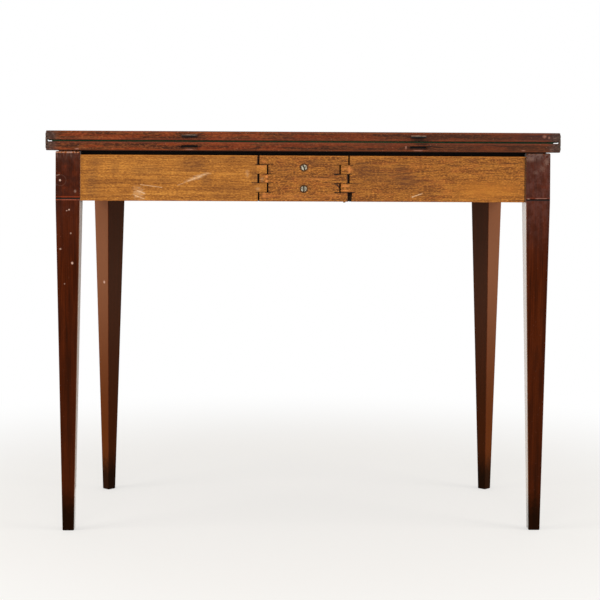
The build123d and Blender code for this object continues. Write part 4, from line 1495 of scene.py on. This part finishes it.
@dataclass
class KnuckleHinges:
    """The fly rails, the fixed block between them, its screws and the steel pins.

    Args:
        screw: the block's screws.
        screw_leans: height of each screw, and the lean of its slot in degrees.
        left_rail, right_rail, block: the finishes of the three pieces of beech.
        steel, old_steel: the finishes of the screws and of the pins.
    """

    screw: SlottedScrew = SlottedScrew("block_screw", 10.2, 4.3, 36.0, 1.9, 1.6)
    screw_leans: tuple[Pair, ...] = ((UPPER_SCREW, 20.0), (LOWER_SCREW, -3.0))
    left_rail: RailFinish = RailFinish(
        "left_fly_rail_beech", BEECH_RAIL,
        smudges=(
            Blot(-375.3, 621, 15, 38, 0.5), Blot(-367.3, 661, 14, 12, 0.35),
            Blot(-335.5, 650, 10, 16, 0.35), Blot(-277.8, 646, 38, 12, 0.35),
            Blot(-196.1, 655, 34, 16, 0.5), Blot(-174.1, 631, 14, 15, 0.45),
            Blot(-126.2, 669, 7, 2.6, 0.6), Blot(-88.3, 636, 8, 17, 0.5),
            Blot(-251.9, 628, 60, 7, 0.25), Blot(-142.2, 610, 40, 20, 0.2)),
        pale=(
            Scratch((-224, 619), (-169.2, 641), 1.2, 0.35),
            Blot(-188.1, 634, 24, 4, 0.5, lean=20, ragged=2),
            Scratch((-289.7, 620), (-251.9, 615), 1.1, 0.5),
            Scratch((-294.7, 609), (-282.8, 604), 1.2, 0.6),
            Scratch((-298.7, 600.5), (-283.8, 594.5), 1.2, 0.6),
            Blot(-292.7, 605, 11, 12, 0.4, ragged=2),
            Blot(-100.3, 641, 4, 8, 0.25, ragged=1.8), Blot(-81.3, 613, 5, 4, 0.25)),
        # bright: rubbed marks, and painted highlights on the knuckle ends
        bright=(
            Blot(-74.3, 653, 11, 2.2, 0.45, ragged=1.4), Blot(-396.2, 640, 1.4, 50, 0.2),
            Blot(-74.3, 649, 5, 2, 0.3)),
        # dark: saw cuts, and painted shade along the knuckle gap (the upright lines)
        dark=(
            Scratch((-82.5, 673), (-82.7, 657), 1.5, 0.95),
            Scratch((-82.3, 639.5), (-82.3, 624.5), 1.4, 0.9),
            Scratch((-92.3, 624.2), (-64.3, THIRD_CUT), 1.2, 0.8),
            Scratch((-86.3, FIRST_CUT), (-62.3, FIRST_CUT), 1.1, 0.85),
            Scratch((-84.3, FOURTH_CUT), (-64.3, FOURTH_CUT), 1, 0.7),
            Scratch((-84.3, SECOND_CUT), (-66.3, SECOND_CUT), 0.8, 0.5)))
    right_rail: RailFinish = RailFinish(
        "right_fly_rail_beech", BEECH_RAIL, age=0.28,
        smudges=(
            Blot(185.1, 628, 28, 18, 0.6), Blot(174.1, 651, 20, 9, 0.45),
            Blot(102.9, 650, 26, 14, 0.4), Blot(300.7, 664, 14, 3, 0.4),
            Blot(148, 636, 50, 16, 0.3), Blot(223.3, 615, 30, 24, 0.25),
            Blot(117.9, 640, 60, 30, 0.2)),
        pale=(Scratch((193.2, 600), (211.3, 606), 1.5, 0.7),),
        clean=(Blot(328.9, 612, 80, 22, 0.55),),
        # bright: painted highlights on the rounded knuckle ends
        bright=(
            Blot(80.8, 648, 2.6, 8.5, 0.7), Blot(73.8, 650, 8, 2, 0.4),
            Blot(73.8, 619, 9, 2.4, 0.7), Blot(73.8, 611, 9, 1.8, 0.65),
            Blot(84.8, 648, 4, 3, 0.4)),
        # dark: scratches and saw cuts, and painted shade in the joint with the leg (the upright
        # line at x 395)
        dark=(
            Scratch((91.8, 658), (118.9, 662), 1.5, 0.5),
            Scratch((168.1, 641), (237.4, 647), 1.3, 0.5),
            Scratch((287.7, 650), (331.9, 656), 1.2, 0.4),
            Scratch((323.9, 658.5), (389.3, 661.5), 1.7, 0.4),
            Scratch((246.4, 655), (328.9, 661), 1, 0.3),
            Scratch((79.8, THIRD_CUT), (101.9, 623), 1.1, 0.7),
            Scratch((79.8, FIRST_CUT), (87.8, FIRST_CUT), 0.9, 0.8),
            Scratch((79.8, 640), (83.8, 641), 1.1, 0.8),
            Scratch((77.8, FOURTH_CUT), (89.8, 607.5), 1.8, 0.95),
            Scratch((395, 590), (395, 673), 1.6, 0.95)))
    block: RailFinish = RailFinish(
        "hinge_block_beech", BEECH_RAIL, age=0.33,
        smudges=(
            Blot(-36.3, 650, 26, 14, 0.3), Blot(53.8, 651, 18, 16, 0.45),
            Blot(7.7, 634, 60, 5, 0.35), Blot(-22.3, 632, 5, 6, 0.4),
            Blot(21.7, 660, 22, 9, 0.4)),
        pale=(Blot(-74.3, 631, 4, 5, 0.2, ragged=1.8),),
        # bright: rubbed marks, and painted highlights on the knuckle ends
        bright=(
            Blot(-66.3, 635, 3, 3.4, 0.9), Blot(-66.3, 627, 3.2, 3.4, 0.85),
            Blot(-70.3, 662, 5, 3, 0.45), Blot(-70.3, 603, 4, 7, 0.45),
            Blot(53.8, 602, 18, 4, 0.3), Blot(-64.3, 600, 12, 4, 0.3),
            Blot(-17.3, 600, 40, 5, 0.2, ragged=1.8), Blot(27.7, 631, 30, 2.4, 0.3)),
        # dark: stains round the screws, dirt and saw cuts, and painted shade along the knuckle
        # gaps (the upright lines at x 78 to 79)
        dark=(
            Ring(0, UPPER_SCREW, 6.7, 1.7, 0.75), Ring(0, LOWER_SCREW, 6.7, 1.7, 0.75),
            Blot(-5.3, 661.4, 9, 1, 0.6), Blot(-17.3, 643, 1.8, 5, 0.5),
            Blot(14.7, 641, 5, 1.4, 0.55), Blot(45.8, 648.5, 1.7, 1.7, 0.6),
            Scratch((-84.3, FIRST_CUT), (-60.3, 656.6), 1.1, 0.8),
            Scratch((-68.3, SECOND_CUT), (-56.3, 640.3), 1.1, 0.8),
            Scratch((-68.3, THIRD_CUT), (-56.3, 624.2), 1.1, 0.8),
            Scratch((-68.3, FOURTH_CUT), (-59.3, 607), 1.3, 0.9),
            Blot(-63.3, 621, 3, 1.8, 0.8), Blot(-62.8, 609.6, 3.2, 2, 0.85),
            Blot(-65.7, 615, 1.6, 7, 0.7), Blot(-62.3, 648, 4, 6, 0.45),
            Scratch((78.2, 640), (78.2, 624.5), 2.2, 0.95),
            Scratch((78.8, 607), (78.8, 590), 2, 0.95),
            Scratch((79.4, 672), (79.4, 657), 1, 0.8),
            Blot(56.8, 639.2, 4, 1.5, 0.9), Blot(57.8, 621, 3.4, 2, 0.6),
            Scratch((54.8, 639), (65.8, SECOND_CUT), 1.8, 0.95),
            Scratch((49.8, 622.5), (79.8, THIRD_CUT), 1.4, 0.95),
            Scratch((59.8, 620), (65.8, 614), 2.2, 0.9),
            Scratch((55.8, 607), (81.8, FOURTH_CUT), 2, 0.98),
            Scratch((65.8, SECOND_CUT), (79.8, SECOND_CUT), 0.9, 0.7),
            Scratch((63.8, FIRST_CUT), (79.8, FIRST_CUT), 0.9, 0.7),
            Scratch((-62.3, 639), (92.8, 637.5), 0.8, 0.3),
            Scratch((-22.3, 635), (77.8, 634), 0.8, 0.3)))
    steel: MetalFinish = MetalFinish("screw_steel", paint(188, 182, 162), paint(160, 150, 128),
                                     paint(96, 82, 64), bare=0.34, rough=0.4,
                                     face_y=BLOCK_SCREW_FACE)
    old_steel: MetalFinish = MetalFinish("pin_steel", paint(120, 112, 100),
                                         paint(64, 54, 44), paint(30, 24, 20))

    def build(self) -> list[str]:
        """Dresses rails, block and pins, and drives the block's screws.

        Returns:
            The nodes that it has dressed.
        """
        names = (dress(self.left_rail.made(), "left_fly_rail")
                 + dress(self.right_rail.made(), "right_fly_rail")
                 + dress(self.block.made(), "hinge_block")
                 + dress(self.old_steel.made(), "left_knuckle_pin", "right_knuckle_pin",
                         "pocket_screws"))
        places = [(Vector((0.0, BLOCK_SCREW_FACE, level)), Vector((0.0, -1.0, 0.0)), lean)
                  for level, lean in self.screw_leans]
        screws = self.screw.drive(self.steel.made(), places)
        return names + stand_in(screws, "frame", "screw_steel", "block_screws")


@dataclass
class Frieze:
    """The rails under the top, their veneer and the glue blocks.

    Args:
        dusky_from: height above which the rails are painted dark as shade.
    """

    dusky_from: float = 671.0

    def build(self) -> list[str]:
        """Dresses rails, blocks and veneer.

        Returns:
            The nodes that it has dressed.
        """
        along = RailFinish("carcass_pine_along", CARCASS_PINE, dusky_from=self.dusky_from)
        across = replace(along, name="carcass_pine_across",
                         timber=replace(CARCASS_PINE, grain=Grain.ACROSS))
        return (dress(along.made(), "inner_back_rail", "front_rail", "left_corner_rail",
                      "right_corner_rail", "glue_blocks")
                + dress(across.made(), "left_end_rail", "right_end_rail", "medial_rail")
                + dress(VeneerFinish().made(), "left_veneer", "front_veneer",
                        "right_veneer"))


def seen_rays(tree: bpy.types.NodeTree) -> bpy.types.NodeSocket:
    """Parts the rays that show the white all round from those that light.

    Args:
        tree: where the nodes are added.

    Returns:
        1 for rays from the camera, off a gloss or through glass, else 0.
    """
    path = set_node(tree, "ShaderNodeLightPath").outputs
    seen = path["Is Camera Ray"]
    for name in ("Is Glossy Ray", "Is Transmission Ray"):
        seen = set_node(tree, "ShaderNodeMath", {"operation": "MAXIMUM"},
                        {0: seen, 1: path[name]}).outputs[0]
    return seen


@dataclass(frozen=True)
class SoftBox:
    """One soft lamp, in metres and watts.

    Args:
        name: its name.
        place: where it hangs.
        aim: the point that it faces.
        size: its width and height.
        watts: its power.
    """

    name: str
    place: Place
    aim: Place
    size: Pair
    watts: float

    def hang(self) -> None:
        """Adds the lamp to the scene."""
        data = bpy.data.lights.new(self.name, "AREA")
        data.shape = "RECTANGLE"
        data.size, data.size_y = self.size
        data.energy = self.watts
        facing = (Vector(self.aim) - Vector(self.place)).to_track_quat("-Z", "Y")
        turn = facing.to_matrix().to_4x4()
        set_up(self.name, data).matrix_world = Matrix.Translation(self.place) @ turn


@dataclass
class Studio:
    """A plain pale floor, soft light from all round and the camera.

    Args:
        eye: place of the camera, in millimetres.
        tilt, roll, yaw: how far it looks down, leans and looks aside, in degrees.
        lens, sensor: its focal length and the width of its sensor, in millimetres.
        shift: how far the frame is moved, as a share of its width.
        floor_tint: colour of the floor under its glow.
        floor_half: half the width of the floor, in metres.
        floor_glow: how much of the floor's white is its own glow, near the table.
        glow_reach: where that share begins to grow, and where it is whole, in millimetres.
        sky_light: how strong the white all round is as light.
        boxes: the lamps.
    """

    eye: Place = (-79.5, -3061.8, 674.0)
    tilt: float = 1.615
    roll: float = 0.288
    yaw: float = 1.467
    lens: float = 95.99
    sensor: float = 36.0
    shift: Pair = (0.0, -0.1667)
    floor_tint: Colour = paint(236, 230, 220)
    floor_half: float = 14.0
    floor_glow: float = 0.55
    glow_reach: Pair = (500.0, 1500.0)
    sky_light: float = 0.62
    boxes: tuple[SoftBox, ...] = (
        SoftBox("left_box", (-2.4, -1.0, 1.1), (-0.3, 0.0, 0.5), (1.2, 1.8), 26.0),
        SoftBox("right_box", (2.4, -1.0, 1.1), (0.3, 0.0, 0.5), (1.2, 1.8), 26.0),
        SoftBox("front_box", (-0.4, -3.4, 2.0), (0.0, -0.2, 0.5), (2.4, 1.2), 34.0))

    def camera(self) -> None:
        """Sets up the camera at the photograph's viewing angle."""
        data = bpy.data.cameras.new("camera")
        data.lens = self.lens
        data.sensor_width = self.sensor
        data.shift_x, data.shift_y = self.shift
        data.clip_start, data.clip_end = 0.05, 60.0
        tilt, roll, yaw = map(math.radians, (self.tilt, self.roll, self.yaw))
        ahead = Vector((math.sin(yaw) * math.cos(tilt), math.cos(yaw) * math.cos(tilt),
                        -math.sin(tilt)))
        right = Vector((math.cos(yaw), -math.sin(yaw), 0.0))
        up = right.cross(ahead)
        leaned_right = right * math.cos(roll) + up * math.sin(roll)
        leaned_up = up * math.cos(roll) - right * math.sin(roll)
        turn = Matrix((leaned_right, leaned_up, -ahead)).transposed().to_4x4()
        view = set_up("camera", data)
        view.matrix_world = Matrix.Translation(Vector(self.eye) * MM) @ turn
        bpy.context.scene.camera = view

    def floor(self) -> None:
        """Lays the pale floor, which shows white but keeps the table's shadow."""
        half = self.floor_half
        mesh = bpy.data.meshes.new("floor")
        mesh.from_pydata([(-half, -half, 0), (half, -half, 0), (half, half, 0),
                          (-half, half, 0)], [], [(0, 1, 2, 3)])
        plane = set_up("floor", mesh)
        bench = Bench("pale_floor")
        bench.finish(base_color=self.floor_tint, roughness=0.9, specular_ior_level=0.1)
        glow = bench.node("ShaderNodeEmission", {}, {"Color": (1.0, 1.0, 1.0, 1.0),
                                                     "Strength": 1.0})
        x, y, _ = bench.place()
        far = (x ** 2 + y ** 2).root()
        share = self.floor_glow + far.rise(*self.glow_reach) * (1 - self.floor_glow)
        seen = Flow(bench, seen_rays(bench.tree))
        shade = bench.node("ShaderNodeMixShader", {}, {
            0: seen * share, 1: bench.shader.outputs[0], 2: glow.outputs[0]})
        bench.tree.links.new(shade.outputs[0], bench.output.inputs["Surface"])
        mesh.materials.append(bench.material)

    def sky(self) -> None:
        """White all round, dimmer as light than as it is seen."""
        world = bpy.data.worlds.new("studio")
        world.use_nodes = True
        bpy.context.scene.world = world
        tree = world.node_tree
        back = tree.nodes["Background"]
        back.inputs["Color"].default_value = (1.0, 1.0, 1.0, 1.0)
        strength = set_node(tree, "ShaderNodeMapRange", {}, {
            "Value": seen_rays(tree), "To Min": self.sky_light, "To Max": 1.0})
        tree.links.new(strength.outputs["Result"], back.inputs["Strength"])

    def build(self) -> None:
        """Sets up light, floor and camera."""
        self.camera()
        self.floor()
        self.sky()
        for box in self.boxes:
            box.hang()
        bpy.context.scene.view_settings.view_transform = "Standard"


def main() -> None:
    """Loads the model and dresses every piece."""
    logging.basicConfig(level=logging.INFO, format="%(name)s: %(message)s")
    FRAME.update(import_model())
    Studio().build()
    for assembly in (Leaves(), LinkHinges(), GateLegs(), FrontLegs(), KnuckleHinges(),
                     Frieze()):
        for piece in assembly.build():
            LOG.info("%s: %s", type(assembly).__name__, piece)


if __name__ == "__main__":
    main()
